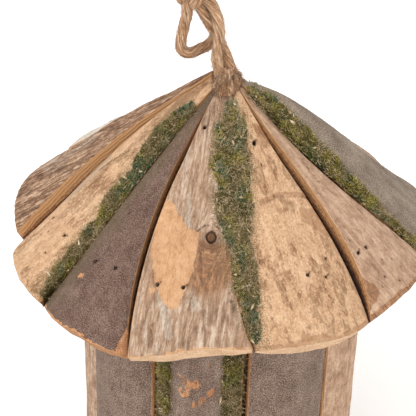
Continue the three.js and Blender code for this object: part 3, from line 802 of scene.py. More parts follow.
def hanger_collar():
    """Fibres and glue packed round the legs where they come out between the slab tips."""
    rings, sides = 30, 90
    down = np.linspace(0, 1, rings)[:, None]
    angle = np.linspace(0, 2 * np.pi, sides, endpoint=False)[None, :]
    points, rough = collar_surface(down, angle)
    skin = Skin()
    grain = np.stack([np.cos(angle) * 7 + 0 * down, points[..., 2], np.sin(angle) * 7 + 0 * down], -1)
    # Darker towards the slab tips, and darker in the dents of the wad as painted shade.
    index = skin.add(points, grain, mark=np.clip(0.05 + 0.2 * down - 0.5 * rough, 0, 1))
    loop = np.concatenate([index, index[:, :1]], 1)
    skin.sheet(loop)
    for row, flip in ((0, False), (-1, True)):
        tip = skin.add(points[row].mean(0)[None], grain[row].mean(0)[None], mark=0.9)
        ring = loop[row]
        fan = np.stack([np.full(sides, tip[0]), ring[:-1], ring[1:]], 1)
        skin.fan(fan[:, ::-1] if flip else fan)
    rng = np.random.default_rng(12)
    count = 1400
    down, angle = rng.uniform(0, 1, count), rng.uniform(0, 2 * np.pi, count)
    roots = collar_surface(down, angle)[0]
    lower = collar_surface(down + 0.05, angle)[0]
    along = (lower - roots) / np.linalg.norm(lower - roots, axis=1, keepdims=True)
    away = np.stack([np.cos(angle), np.sin(angle), 0 * angle], 1)
    fibres(skin, roots, along + 0.25 * away + rng.normal(0, 0.3, (count, 3)),
           rng.uniform(1.5, 5.0, count), rng.uniform(0.15, 0.34, count),
           rng.normal(0, 0.5, (count, 3)), np.zeros(count), mark=rng.uniform(0, 0.6, count))
    collar = skin.build("jute_collar", [JUTE])
    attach(collar, "house")


def make_twine():
    """One length of jute from the stopper knot up, round the loop and back down."""
    left = leg_points(-1)
    right = leg_points(1)[::-1]
    route = np.concatenate([left, np.asarray(LOOP_LINE, float), right])
    line, travel = smooth_line(route, 0.55)
    skin = Skin()
    strand_skin(skin, line, travel, TWINE_DIAMETER / 2, 3)
    twine = skin.build("jute_hanger", [JUTE])
    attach(twine, "house")
    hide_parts("twine_leg_left", "twine_leg_right", "twine_loop")

    for name, node, centre, size, axis, turn in (
        ("hanger_knot", "twine_knot", KNOT_CENTRE, (8.8, 7.2, 6.6), (-0.35, -0.1, 1.0), 200),
        ("stopper_knot", "twine_stopper_knot", STOPPER_CENTRE, (9.2, 8.8, 6.6), (0, 0, 1), 0),
    ):
        skin = Skin()
        knot_line, knot_travel = smooth_line(knot_points(centre, size, axis, turn), 0.6)
        strand_skin(skin, knot_line, knot_travel, TWINE_DIAMETER / 2, 8)
        knot = skin.build(name, [JUTE])
        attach(knot, "house")
        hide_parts(node)

    rng = np.random.default_rng(11)
    count = 2200
    spot = rng.integers(5, len(line) - 5, count)
    away = rng.normal(size=(count, 3))
    along = line[spot + 3] - line[spot - 3]
    along /= np.linalg.norm(along, axis=1, keepdims=True)
    away -= along * np.sum(away * along, 1, keepdims=True)
    away /= np.linalg.norm(away, axis=1, keepdims=True)
    skin = Skin()
    fibres(
        skin, line[spot] + away * TWINE_DIAMETER * 0.49, along * rng.choice([-1, 1], (count, 1))
        + away * rng.uniform(0.05, 0.7, (count, 1)), rng.uniform(1.5, 6.0, count),
        rng.uniform(0.1, 0.2, count), rng.normal(0, 0.7, (count, 3)), np.zeros(count),
        mark=rng.uniform(0, 0.4, count),
    )
    fuzz = skin.build("jute_fuzz", [JUTE])
    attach(fuzz, "house")


make_twine()
hanger_collar()

# ---------------------------------------------------------------------------- the roof


class RoofSlab:
    """The CAD's roof slab, worked out over whole arrays of plan points."""

    def __init__(self, number):
        self.number = number
        traits = ROOF_SLABS[number - 1]
        self.thickness, self.lean, self.bow, self.belly, self.kind, self.brads = traits
        self.left, self.left_reach = ROOF_JOINTS[number - 1]
        lap = 360 if number == len(ROOF_SLABS) else 0
        right, self.right_reach = ROOF_JOINTS[number % len(ROOF_JOINTS)]
        self.right = tuple(bearing + lap for bearing in right)
        corners = polar(self.left[2], self.left_reach), polar(self.right[2], self.right_reach)
        far_edge = np.linalg.norm(corners[0] - corners[1]) / 2 * (1 + abs(self.lean))
        middle = (self.left[2] + self.right[2]) / 2
        half_angle = (self.right[2] - self.left[2]) / 2
        self.outward = polar(middle, 1.0)
        self.across = polar(middle + 90, 1.0)
        self.slope = ROOF_RISE / EAVE_RADIUS / math.cos(math.radians(half_angle))
        self.pitch = math.atan(self.slope)
        drop = self.thickness - SLAB_EDGE
        self.log_radius = (drop ** 2 + far_edge ** 2) / (2 * drop)

    def crown_offset(self, plan):
        """How far plan points lie to the side of the crown line, and half the slab's width."""
        radius = np.linalg.norm(plan, axis=-1)
        left = polar(along_joint(self.left, radius), radius) @ self.across
        right = polar(along_joint(self.right, radius), radius) @ self.across
        half = (right - left) / 2
        return plan @ self.across - (left + right) / 2 - self.lean * half, half

    def thickness_at(self, plan):
        offset, half = self.crown_offset(plan)
        reach = np.minimum(np.abs(offset), self.log_radius * STEEPEST)
        thickness = np.sqrt(self.log_radius ** 2 - reach ** 2) - self.log_radius + self.thickness
        radius = np.linalg.norm(plan, axis=-1)
        down = np.clip((radius - SLAB_TIP_RADIUS) / (EAVE_RADIUS - SLAB_TIP_RADIUS), 0, 1)
        level = np.maximum(1 - (offset / half) ** 2, 0)
        swell = BELLY_SHAPE * down * (1 - down) ** 2 * level
        return np.maximum(thickness + self.belly * swell, SLAB_EDGE / 2)

    def underside(self, plan):
        height = ROOF_POINT - self.slope * (plan @ self.outward)
        return np.concatenate([plan, height[..., None]], -1)

    def top_height(self, plan):
        lift = self.thickness_at(plan) / math.cos(self.pitch)
        return ROOF_POINT - self.slope * (plan @ self.outward) + lift

    def top(self, plan):
        square = smoothstep(SLAB_TIP_RADIUS, PLUMB_TIP_RADIUS, np.linalg.norm(plan, axis=-1))
        shift = self.thickness_at(plan) * math.sin(self.pitch) * square
        moved = plan + self.outward * shift[..., None]
        return np.concatenate([moved, self.top_height(moved)[..., None]], -1)

    def edge(self, bearings, reach, side, down):
        radius = SLAB_TIP_RADIUS + (reach - SLAB_TIP_RADIUS) * down
        gap = np.degrees(SLAB_GAP / 2 / radius)
        return polar(along_joint(bearings, radius) - side * gap, radius)

    def plan_grid(self, rows, columns):
        down = np.linspace(0, 1, rows)
        left = self.edge(self.left, self.left_reach, -1, down)[:, None]
        right = self.edge(self.right, self.right_reach, 1, down)[:, None]
        share = np.linspace(-1, 1, columns)[None, :, None]
        bow = self.bow * (1 - share ** 2) * down[:, None, None] ** 2
        return left * (1 - share) / 2 + right * (1 + share) / 2 + self.outward * bow

    def face_place(self, plan):
        """Across and down the slab's face, in mm, for points under it."""
        return plan @ self.across, (plan @ self.outward) / math.cos(self.pitch)

    def feature(self, radius, bearing):
        """Place on the face of a point of the roof's top seen at a plan radius and bearing."""
        plan = polar(bearing, radius)
        shift = self.thickness_at(plan) * math.sin(self.pitch)
        square = smoothstep(SLAB_TIP_RADIUS, PLUMB_TIP_RADIUS, radius)
        return self.face_place(plan - self.outward * shift * square)

    def brad_places(self):
        places = []
        for radius, share in self.brads:
            left = along_joint(self.left, radius)
            right = along_joint(self.right, radius)
            bearing = left + (right - left) * (share + 1) / 2
            places.append(self.face_place(polar(bearing, radius)))
        return places


def inside(u, s, outline, ragged, seed):
    """1 inside an outline on a slab's face and 0 outside, with a ragged edge."""
    corners = np.asarray(outline, float)
    nearest = np.full(u.shape, 1e9)
    odd = np.zeros(u.shape, bool)
    for (x0, y0), (x1, y1) in zip(corners, np.roll(corners, -1, axis=0)):
        dx, dy = x1 - x0, y1 - y0
        t = np.clip(((u - x0) * dx + (s - y0) * dy) / (dx * dx + dy * dy + 1e-9), 0, 1)
        nearest = np.minimum(nearest, np.hypot(u - x0 - t * dx, s - y0 - t * dy))
        if y0 != y1:
            crosses = (y0 > s) != (y1 > s)
            odd ^= crosses & (u < x0 + (s - y0) * dx / dy)
    depth = np.where(odd, nearest, -nearest) + ragged * fbm(u / 2.5, s / 4, seed, 4)
    return smoothstep(-0.5, 0.5, depth)


def along_line(u, s, line, width):
    """1 on a line of points across a slab's face, falling to 0 at its width."""
    points = np.asarray(line, float)
    nearest = np.full(u.shape, 1e9)
    for (x0, y0), (x1, y1) in zip(points[:-1], points[1:]):
        dx, dy = x1 - x0, y1 - y0
        t = np.clip(((u - x0) * dx + (s - y0) * dy) / (dx * dx + dy * dy + 1e-9), 0, 1)
        nearest = np.minimum(nearest, np.hypot(u - x0 - t * dx, s - y0 - t * dy))
    wobble = 0.5 * fbm(u / 2, s / 2, 5)
    return 1 - smoothstep(0.3, 1.0, (nearest + wobble) / width)


# What each kind of face is like: relief in mm, how much skin is left on it, dark marks.


def face_smooth_bark(u, s, seed):
    height = 0.45 * fbm(u / 13, s / 22, seed) + 0.12 * fbm(u / 1.9, s / 2.6, seed + 1)
    warts = smoothstep(0.6, 0.85, value_noise(u / 2.4, s / 2.0, seed + 2))
    return height + 0.15 * warts, 1 + 0 * u, 0.2 * warts


def face_rough_bark(u, s, seed):
    bend = 2.4 * fbm(u / 12, s / 22, seed + 7)
    crest = np.clip(ridges((u + bend) / 6.5, s / 34, seed, 4), 0, 1)
    height = 1.3 * (crest - 0.5) + 0.5 * fbm(u / 2.2, s / 9, seed + 1, 4)
    return height, 0.85 + 0 * u, 0.35 * smoothstep(0.25, 0.0, crest)


def face_peeled(u, s, seed):
    patch = smoothstep(0.25, 0.6, fbm(u / 7, s / 11, seed + 3, 4))
    height = 0.35 * fbm(u / 9, s / 20, seed) + 0.2 * fbm(u / 1.6, s / 5, seed + 1)
    return height + 0.3 * patch, 0.25 + 0.3 * patch, 0 * u


def face_fibrous(u, s, seed):
    bend = 1.5 * fbm(u / 10, s / 18, seed + 7)
    height = 0.35 * fbm(u / 9, s / 30, seed) + 0.45 * fbm((u + bend) / 3.2, s / 20, seed + 1, 5)
    height = height + 0.15 * fbm(u / 1.4, s / 4, seed + 2)
    groove = smoothstep(0.8, 0.98, ridges((u + bend) / 4.5, s / 45, seed + 6, 3))
    groove = groove * smoothstep(0.1, 0.4, fbm(u / 9, s / 20, seed + 8))
    return height - 0.35 * groove, 0.8 + 0 * u, 0.4 * groove


FACES = {
    "dark": face_smooth_bark, "grey": face_smooth_bark, "dusty": face_smooth_bark,
    "rough": face_rough_bark,
    "weathered": face_fibrous, "tan": face_peeled, "streaked": face_fibrous,
    "pale": face_peeled,
}

# Beetle holes and nicks on each kind of face: how many, over the whole slab.
PITS = {"dark": 4, "grey": 3, "dusty": 3, "weathered": 3, "tan": 12, "streaked": 12, "pale": 6, "rough": 3}


class Face:
    """The outer face of a slab at places (u across, s along): its relief in mm, how much
    bark is left, brown and grey stains, dark marks and moss dust."""

    def __init__(self, u, s, kind, seed):
        self.u, self.s = u, s
        self.to_end = s[-1:] - s
        self.height, self.bark, self.mark = FACES[kind](u, s, seed)
        self.brown = np.zeros(u.shape)
        self.grey = np.zeros(u.shape)
        self.dust = np.zeros(u.shape)
        self.bend = np.zeros(u.shape)
        rng = np.random.default_rng(seed)
        for _ in range(PITS[kind]):
            row = rng.integers(8, u.shape[0] - 8)
            column = rng.integers(6, u.shape[1] - 6)
            size = rng.uniform(0.25, 0.5), rng.uniform(0.3, 1.1)
            self.hole((u[row, column], s[row, column]), size, 0.6, rng.uniform(0.3, 0.8))

    def hole(self, place, size, depth, dark):
        far = np.hypot((self.u - place[0]) / size[0], (self.s - place[1]) / size[1])
        pit = 1 - smoothstep(0.5, 1.5, far)
        self.height = self.height - depth * pit
        self.mark = self.mark + dark * pit

    def area(self, outline, ragged, seed):
        return inside(self.u, self.s, outline, ragged, seed)

    def line(self, points, width):
        return along_line(self.u, self.s, points, width)

    def stain(self, name, share):
        """Raises one of the values to share where it is lower."""
        setattr(self, name, np.maximum(getattr(self, name), share))

    def brad(self, place):
        """A sunk nail in a torn hole painted dark, with a shallow notch running up to the right, painted
        dark as the hole's shadow.
        """
        self.hole(place, (0.85, 0.75), 2.2, 1.2)
        # Painted shadow: a dark notch above the hole, as the shadow of its rim.
        shadow_notch = self.line([place, (place[0] + 1.7, place[1] - 1.2)], 0.7)
        self.height = self.height - 0.5 * shadow_notch
        self.mark = self.mark + 0.6 * shadow_notch

    def knot(self, place, size, seed):
        """A knot: an upright almond of dark heartwood under a cracked lid, grain that
        bends round it, and folds that hang below it like the skin under an eye."""
        u, s = self.u, self.s
        du, ds = u - place[0], s - place[1]
        wobble = 0.35 * fbm(u / 2.5, s / 3, seed)
        almond = np.hypot(du / 0.62, ds) + 0.4 * np.abs(ds) + wobble
        heart = 1 - smoothstep(size * 0.55, size * 0.75, almond)
        outline = np.exp(-((almond - size * 0.72) / (size * 0.13)) ** 2)
        lid = self.line([(place[0] - size * 1.5, place[1] - size * 0.1),
                         (place[0] - size * 0.6, place[1] - size * 1.0),
                         (place[0] + size * 0.2, place[1] - size * 1.2),
                         (place[0] + size * 0.9, place[1] - size * 0.5)], 0.6)
        lid = lid * smoothstep(-0.5, 0.1, fbm(u / 1.4, s / 1.4, seed + 1))
        far = np.hypot(du * 0.8, ds - size * 0.2) + 2 * wobble
        below = smoothstep(-size * 0.1, size * 0.8, ds) * smoothstep(size * 2.9, size * 1.4, far)
        folds = (0.5 + 0.5 * np.cos(far * 2 * np.pi / 1.7)) * below * (1 - heart)
        wrinkled = smoothstep(size * 4.6, size * 2.4, np.hypot(du * 1.3, ds - size * 2.0))
        wrinkled = wrinkled * smoothstep(0, size, ds)
        wrinkles = wrinkled * (0.5 + 0.5 * np.cos((s + 2.2 * wobble) * 2 * np.pi / 1.35))
        self.height = self.height * (1 - 0.6 * wrinkled) + 0.35 * folds + 0.3 * wrinkles
        self.height = self.height + 0.9 * np.exp(-((far - size) / (size * 0.5)) ** 2)
        self.height = self.height - 0.9 * outline - 1.0 * lid
        self.mark = self.mark * (1 - heart) + 0.45 * heart + 0.85 * outline + 0.7 * lid
        self.mark = self.mark + 0.3 * folds + 0.2 * wrinkles
        self.stain("brown", np.maximum(0.9 * heart, 0.75 * np.maximum(below, wrinkled)))
        self.grey = self.grey * (1 - np.maximum(heart, 0.8 * wrinkled))
        push = np.exp(-(ds / (size * 2.6)) ** 2 - np.abs(du) / (size * 1.8))
        self.bend = self.bend - size * 0.9 * push * np.tanh(du / (size * 0.4))


def slab_details(slab, face):
    """The marks that tell the front slabs apart, at plan radii and bearings on the roof."""
    def spots(*places):
        return [slab.feature(radius, bearing) for radius, bearing in places]

    n = slab.number
    if n == 1:
        flake = face.area(spots((112, -142), (112, -134), (102, -134), (103, -143)), 1.0, 11)
        face.stain("brown", flake)
        face.height = face.height + 0.8 * flake
    if n == 2:
        face.stain("grey", 0.45 * face.area(
            spots((80, -112), (104, -112), (108, -100), (96, -88), (70, -96)), 4, 21))
    if n == 3:
        grey = face.area(spots((54, -73), (70, -74), (88, -70), (84, -65), (66, -66)), 3, 31)
        face.stain("grey", 0.7 * grey)
        face.stain("brown", 0.4 * grey)
        peeled = smoothstep(-0.1, 0.2, fbm(face.u / 9, face.s / 22, 33, 4))
        face.bark = face.bark * (1 - peeled) + 0.25 * (1 - peeled)
        crack = face.line(spots((66.1, -67.5), (58.7, -65.4), (51.6, -62)), 1.2)
        face.height = face.height - 0.5 * crack
        face.stain("dust", 2.0 * crack)
        for place in spots((98, -56), (101, -57.5), (104, -50)):
            face.hole(place, (0.7, 0.6), 0.8, 0.9)
    if n == 4:
        radius = face.s * math.cos(slab.pitch)
        left = polar(along_joint(slab.left, radius), radius) @ slab.across
        face.stain("dust", smoothstep(14, 1, face.u - left + 5 * fbm(face.u / 7, face.s / 12, 42)))
        rim = smoothstep(0.0, 1.0, (face.u - slab.rim_line(face.s)) / 1.2)
        face.bark = face.bark * (1 - rim)
        dot = face.area(spots((101, -36.2), (101, -34.5), (99, -34.5), (99, -36.2)), 0.5, 41)
        face.bark = face.bark * (1 - dot)
    if n == 5:
        slab_five(face, spots)
    if n == 6:
        brown = face.area(spots(
            (61.9, 43), (63.4, 52), (71, 52.5), (76.3, 52), (74, 48), (70.7, 44.7), (68, 41)), 1.2, 61)
        face.stain("brown", 0.55 * brown)
        ledge = face.line(spots((56.8, 25.4), (55.4, 35), (56.5, 45.5), (58, 51)), 1.6)
        lip = face.line(spots((57.8, 25.4), (56.6, 35), (57.5, 45.5), (59, 51)), 0.8)
        face.height = face.height + 0.6 * ledge - 0.7 * lip
        face.mark = face.mark + 0.35 * lip
        face.stain("brown", 0.6 * ledge)
        bar = face.area(spots((61, 32), (61.6, 37), (63.4, 37), (62.8, 32)), 0.4, 63)
        face.stain("brown", 0.6 * bar)
        worn = smoothstep(0.05, 0.3, fbm(face.u / 4, face.s / 11, 65, 4))
        face.bark = np.clip(face.bark + 0.1 + 0.18 * worn, 0, 1)
        face.height = face.height + 0.4 * worn
        chip = face.line(spots((36.8, 27), (34.8, 34.5)), 1.2)
        face.height = face.height - 0.8 * chip
        face.mark = face.mark + 0.3 * chip
        smear = face.area(spots((24, 36), (30, 46), (37, 48), (33, 38)), 2, 64)
        face.stain("brown", 0.7 * smear)
        broken = face.to_end + 2.2 * fbm(face.u / 9, 0 * face.s, 62, 4)
        face.stain("brown", 0.55 * smoothstep(3.2, 2.2, broken))
        face.height = face.height - 0.7 * smoothstep(2.8, 2.2, broken)
    if n == 7:
        stain = face.area(spots(
            (90, 52.5), (96.8, 53.5), (103.7, 55.5), (106, 54), (106, 51), (100, 51)), 2, 71)
        face.stain("brown", 0.75 * stain)
        face.mark = face.mark + 0.15 * stain
        for line in (((60.5, 62), (70.4, 68.7), (83.6, 75)), ((76, 56), (78, 59), (83, 62.4), (90, 59)),
                     ((50, 60), (64, 65), (72, 66))):
            crack = face.line(spots(*line), 0.8)
            crack = crack * smoothstep(-0.5, 0.2, fbm(face.u / 3, face.s / 3, 73))
            face.height = face.height - 0.4 * crack
            face.mark = face.mark + 0.1 * crack
            face.stain("brown", 0.5 * crack)
        for place in spots((57.3, 61.9), (99.4, 65.3), (107.5, 62.2), (102.2, 59.1)):
            face.hole(place, (0.5, 0.7), 0.8, 0.8)
        face.stain("brown", smoothstep(3.5, 1.5, face.to_end + 1.5 * fbm(face.u / 4, face.s / 4, 72)))
    if n == 8:
        spot = face.area(spots((25, 78), (27, 78), (27, 83), (24, 83)), 0.8, 81)
        face.stain("brown", spot)


def slab_five(face, spots):
    """The front slab: a peeled patch, a knot by the moss, silvered and brown streaks."""
    u, s = face.u, face.s
    patch = face.area(spots(
        (59.6, -21.5), (61.7, -15.5), (65.8, -10.2), (68.7, -6.4), (69.8, -2.5), (72.8, -1.6),
        (84.7, -1.7), (94.5, -3.2), (100.5, -3.8), (101.8, -6), (99.3, -8.6), (93.2, -11.9),
        (83.7, -16.4), (71.4, -19.2),
    ), 1.3, 51)
    streak = fbm(u / 2.0, s / 26, 53, 4)
    wide = fbm(u / 7, s / 40, 54, 2)
    low = smoothstep(86, 96, s)
    high = smoothstep(84, 70, s)
    face.stain("grey", smoothstep(0.0, 0.45, streak) * (0.5 * low + 0.85 * high))
    face.stain("brown", smoothstep(0.05, 0.5, -streak + 0.4 * wide) * (0.5 * low + 0.3 * high))
    for line in (((86, -1.5), (92, -1.1), (99, 0.8)), ((97, -9.3), (104, -6.9), (112, -4.3))):
        face.stain("grey", 0.95 * face.line(spots(*line), 3.2))
    warm = np.maximum(face.line(spots((101, -13.4), (110, -9), (117, -5.2)), 0.9),
                      face.line(spots((104, -5), (115, -1.5)), 0.7))
    warm = warm * (0.35 + 0.4 * fbm(u / 1.5, s / 6, 56))
    for place in spots((95.9, -11.8), (71, -3)):
        warm = np.maximum(warm, face.area([
            (place[0] - 2.2, place[1] - 1), (place[0] + 1, place[1] - 1.2),
            (place[0] + 1, place[1] + 1.2), (place[0] - 1.5, place[1] + 1.4)], 0.8, 55))
    bare = np.maximum(patch, 0.8 * warm)
    face.knot(spots((69.9, 3.1))[0], 5.6, 52)
    face.bark = face.bark * (1 - bare)
    face.grey = face.grey * (1 - bare)
    face.brown = face.brown * (1 - bare)
    face.height = face.height * (1 - 0.7 * patch) - 0.5 * patch
    face.mark = face.mark * (1 - 0.8 * patch)


def rim_line(slab):
    """On the dark front slab the bark stops short of its right edge near the eave."""
    def offset(s):
        radius = s * math.cos(slab.pitch)
        right = polar(along_joint(slab.right, radius), radius) @ slab.across
        return right - 0.1 - 4.2 * smoothstep(124, 140, s)
    return offset


def moss_dust_at(slab, plan):
    """Moss dust on the faces next to each moss strip, from 0 to 1."""
    radius = np.linalg.norm(plan, axis=-1)
    bearing = np.degrees(np.arctan2(plan[..., 0], -plan[..., 1]))
    total = np.zeros(radius.shape)
    for joint, start, left, right in ROOF_MOSS:
        line = along_joint(ROOF_JOINTS[joint][0], radius)
        offset = np.radians((bearing - line + 180) % 360 - 180) * radius
        beyond = np.maximum(offset - along_joint(right, radius),
                            -along_joint(left, radius) - offset)
        dust = smoothstep(5, 0, beyond) * smoothstep(start - 8, start + 4, radius)
        total = np.maximum(total, dust)
    return total


def make_roof_slab(number):
    slab = RoofSlab(number)
    slab.rim_line = rim_line(slab)
    rows, columns = 190, 96
    plan = slab.plan_grid(rows, columns)
    share = np.linspace(-1, 1, columns)[None, :]
    down = np.linspace(0, 1, rows)[:, None]
    seed = 100 + 13 * number
    # The eave end is sawn by hand, so it wanders a little.
    wander = 0.9 * fbm(share * 2.2, 0 * share + number, seed + 9)
    wander = wander * smoothstep(0.86, 1.0, down) * (1 - share ** 4)
    plan = plan + slab.outward * wander[..., None]
    u, s = slab.face_place(plan)
    face = Face(u, s, slab.kind, seed)
    top = slab.top(plan)
    face.dust = moss_dust_at(slab, top[..., :2])
    slab_details(slab, face)
    for place in slab.brad_places():
        face.brad(place)
    # Bark crumbles away at the sawn edges and the relief dies out there.
    edge = np.minimum(1 - np.abs(share), (1 - down) * 1.6) + 0.02 * fbm(u / 2, s / 2, seed + 4)
    bark = face.bark * smoothstep(0.0, 0.02, edge)
    relief = face.height * (0.35 + 0.65 * smoothstep(0.0, 0.12, 1 - np.abs(share)))
    relief = relief * (0.3 + 0.7 * smoothstep(0.0, 0.05, 1 - down))
    top = top + grid_normals(top) * relief[..., None]
    low = slab.underside(plan)
    depth = slab.thickness_at(plan)
    offset = slab.crown_offset(plan)[0]
    skin = Skin()
    outer = skin.add(
        top, np.stack([u + face.bend + 300 * number, s, 0 * u], -1), bark=bark,
        mark=np.clip(face.mark, 0, 1), moss_dust=face.dust, brown=face.brown, grey=face.grey,
        ring=slab.log_radius + 0 * u,
    )
    inner = skin.add(
        low, np.stack([u + 300 * number, s, -depth], -1),
        ring=np.hypot(offset, slab.log_radius - slab.thickness),
    )
    out3 = np.array([*slab.outward * math.cos(slab.pitch), -math.sin(slab.pitch)])

    def end_push(grain):
        bumps = fbm(grain[..., 0] / 5, grain[..., 2] / 3, seed + 8)
        return out3 * (0.35 * bumps)[..., None]

    close_slab(skin, outer, inner, 7, end_push, SIDE_AGE_AND_SHADE[slab.kind])
    cut = CUT_WARM if slab.kind in BARKED else CUT_PALE
    piece = skin.build(f"roof_slab_wood_{number}", [MATERIALS[slab.kind], cut])
    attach(piece, "house")
    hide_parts(f"roof_slab_{number}")
    return slab


roof_slabs = [make_roof_slab(number) for number in range(1, len(ROOF_SLABS) + 1)]

# --------------------------------------------------------------------------- the walls


class WallSlab:
    """The CAD's wall slab, in its own frame: offset across, distance out, height."""

    def __init__(self, number):
        self.number = number
        self.kind = WALL_KINDS[number - 1]
        start = WALL_JOINTS[number - 1]
        end = WALL_JOINTS[number] if number < len(WALL_JOINTS) else WALL_JOINTS[0] + 360
        self.bearing = (start + end) / 2
        half = math.radians((end - start) / 2)
        chord = WALL_JOINT_RADIUS * math.cos(half)
        self.back = chord - WALL_EDGE
        self.half_width = self.back * math.tan(half) - WALL_CLEARANCE / math.cos(half)
        bulge = WALL_CROWN_RADIUS - chord
        self.log_radius = (bulge ** 2 + self.half_width ** 2) / (2 * bulge)
        self.outward = polar(self.bearing, 1.0)
        self.across = polar(self.bearing + 90, 1.0)

    def face(self, offset):
        """Distance of the outer face from the centre line."""
        centre = WALL_CROWN_RADIUS - self.log_radius
        return centre + np.sqrt(self.log_radius ** 2 - offset ** 2)

    def place(self, offset, out, height):
        plan = offset[..., None] * self.across + out[..., None] * self.outward
        return np.concatenate([plan, (height + 0 * offset)[..., None]], -1)


def wall_details(slab, face):
    """The peeled scars on the front slab and the worn rim of its entrance."""
    if slab.number == 2:
        u, z = face.u, face.s
        broken = smoothstep(-0.3, 0.15, fbm(u / 1.6, z / 4.5, 72, 4))
        for outline in (
            ((-10, 122), (-6, 121), (-4, 119), (2, 121), (1, 115), (-3, 113), (-7, 116)),
            ((-2, 105), (3, 109), (8, 117), (10, 116), (5, 106), (-2, 102)),
            ((-2.5, 128), (-1.5, 134), (-0.5, 128)), ((-8, 131), (-5, 132), (-6, 130)),
            ((-11, 112), (-7, 114), (-3, 109), (-8, 107)), ((4, 128), (7, 133), (9, 126)),
            ((-9, 20), (-5, 32), (-3, 30), (-6, 18)), ((6, 40), (9, 52), (11, 50), (8, 38)),
        ):
            scar = face.area(outline, 2.2, 71)
            face.bark = face.bark * (1 - scar * broken)
            face.stain("brown", 0.6 * scar * (1 - broken))
            face.height = face.height - 0.4 * scar
        rim = np.hypot(u, z - ENTRANCE_HEIGHT) - ENTRANCE_RADIUS + 0.8 * fbm(u / 3, z / 3, 77)
        face.bark = face.bark * smoothstep(0.4, 1.6, rim)


def make_wall_slab(number):
    slab = WallSlab(number)
    rows, columns = 190, 58
    share = np.linspace(-1, 1, columns)[None, :]
    z = np.linspace(0, WALL_TOP, rows)[:, None]
    u = slab.half_width * share + 0 * z
    z = z + 0 * u
    seed = 500 + 17 * number
    face = Face(u, z, slab.kind, seed)
    wall_details(slab, face)
    margin = 1 - np.abs(share)
    bark = face.bark * smoothstep(0.0, 0.03, margin + 0.02 * fbm(u / 3, z / 5, seed + 4))
    relief = face.height * (0.3 + 0.7 * smoothstep(0.0, 0.15, margin))
    for joint, left, right in WALL_MOSS:
        if right and joint == number - 1:
            face.stain("dust", smoothstep(6, 0, u + slab.half_width - right))
        if left and joint == number:
            face.stain("dust", smoothstep(6, 0, slab.half_width - left - u))
    front = slab.place(u, slab.face(u), z)
    front = front - grid_normals(front) * relief[..., None]
    back = slab.place(u, slab.back + 0 * u, z)
    depth = slab.face(u) - slab.back
    skin = Skin()
    outer = skin.add(
        front, np.stack([u + 900 + 300 * number, z, 0 * u], -1), bark=bark, brown=face.brown,
        mark=np.clip(face.mark, 0, 1), moss_dust=face.dust, ring=slab.log_radius + 0 * u,
    )
    inner = skin.add(
        back, np.stack([u + 900 + 300 * number, z, -depth], -1),
        ring=np.hypot(u, slab.log_radius - WALL_CROWN_RADIUS + slab.back),
    )
    # Rows climb here, where the roof's run down, so the grids are turned over.
    # The wall sides get the same browning and painted shade in the joints.
    close_slab(skin, outer[::-1], inner[::-1], 6, None, 0.9)
    cut = CUT_WARM if slab.kind in BARKED else CUT_PALE
    piece = skin.build(f"wall_slab_wood_{number}", [MATERIALS[slab.kind], cut])
    node = "wall_slab_front" if number == 2 else f"wall_slab_{number}"
    if number == 2:
        cut_entrance(piece)
    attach(piece, "house")
    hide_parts(node)
    return slab


def cut_entrance(piece):
    """Bores the entrance through the front slab, a little uneven as a hand drill leaves it."""
    rings, sides = 26, 96
    angle = np.linspace(0, 2 * np.pi, sides, endpoint=False)[None, :]
    y = np.linspace(-WALL_CROWN_RADIUS - 5, -50, rings)[:, None]
    radius = ENTRANCE_RADIUS + 0.12 * fbm(np.cos(angle) * 3 + y / 2, np.sin(angle) * 3, 90)
    points = np.stack([radius * np.cos(angle), y + 0 * angle,
                       ENTRANCE_HEIGHT + radius * np.sin(angle)], -1)
    skin = Skin()
    index = skin.add(points, ring=points[..., 1] + 0 * radius)
    loop = np.concatenate([index, index[:, :1]], 1)
    skin.sheet(loop, 1)
    for row, flip in ((0, False), (-1, True)):
        tip = skin.add(points[row].mean(0)[None])
        ring = loop[row]
        fan = np.stack([np.full(sides, tip[0]), ring[:-1], ring[1:]], 1)
        skin.fan(fan[:, ::-1] if flip else fan, 1)
    cutter = skin.build("entrance_cutter", list(piece.data.materials))
    modifier = piece.modifiers.new("entrance", "BOOLEAN")
    modifier.operation = "DIFFERENCE"
    modifier.object = cutter
    modifier.solver = "EXACT"
    graph = bpy.context.evaluated_depsgraph_get()
    bored = bpy.data.meshes.new_from_object(piece.evaluated_get(graph))
    piece.modifiers.clear()
    piece.data = bored
    bpy.data.objects.remove(cutter)


wall_slabs = [make_wall_slab(number) for number in range(1, len(WALL_KINDS) + 1)]

# ---------------------------------------------------------------------------- the moss


# Coats of moss, from the short thatch in tufts to loose straws and chips of bark: share of
# the strands, lengths and widths in mm, how flat they lie, tints, and how far they stray.
MOSS_COATS = (
    (0.60, (0.6, 1.8), (0.28, 0.5), 0.8, (0.0, 0.75), 0.0),
    (0.29, (1.0, 2.6), (0.22, 0.4), 1.5, (0.2, 0.9), 0.04),
    (0.08, (1.8, 4.5), (0.2, 0.34), 4.0, (0.6, 1.0), 0.16),
    (0.03, (0.9, 2.2), (0.5, 0.9), 4.0, (0.6, 1.0), 0.16),
    (0.0006, (3.0, 5.0), (1.2, 1.9), 2.5, (0.9, 1.0), 0.12),
)
TUFT_SPREAD = 1.15        # mm from the middle of a tuft to its strands
TUFT_AREA = 4.5           # mm2 of strip for each tuft
STRANDS_PER_MM2 = 8.5
HEM = 0.16                # share of a strip that hangs down a slab's side


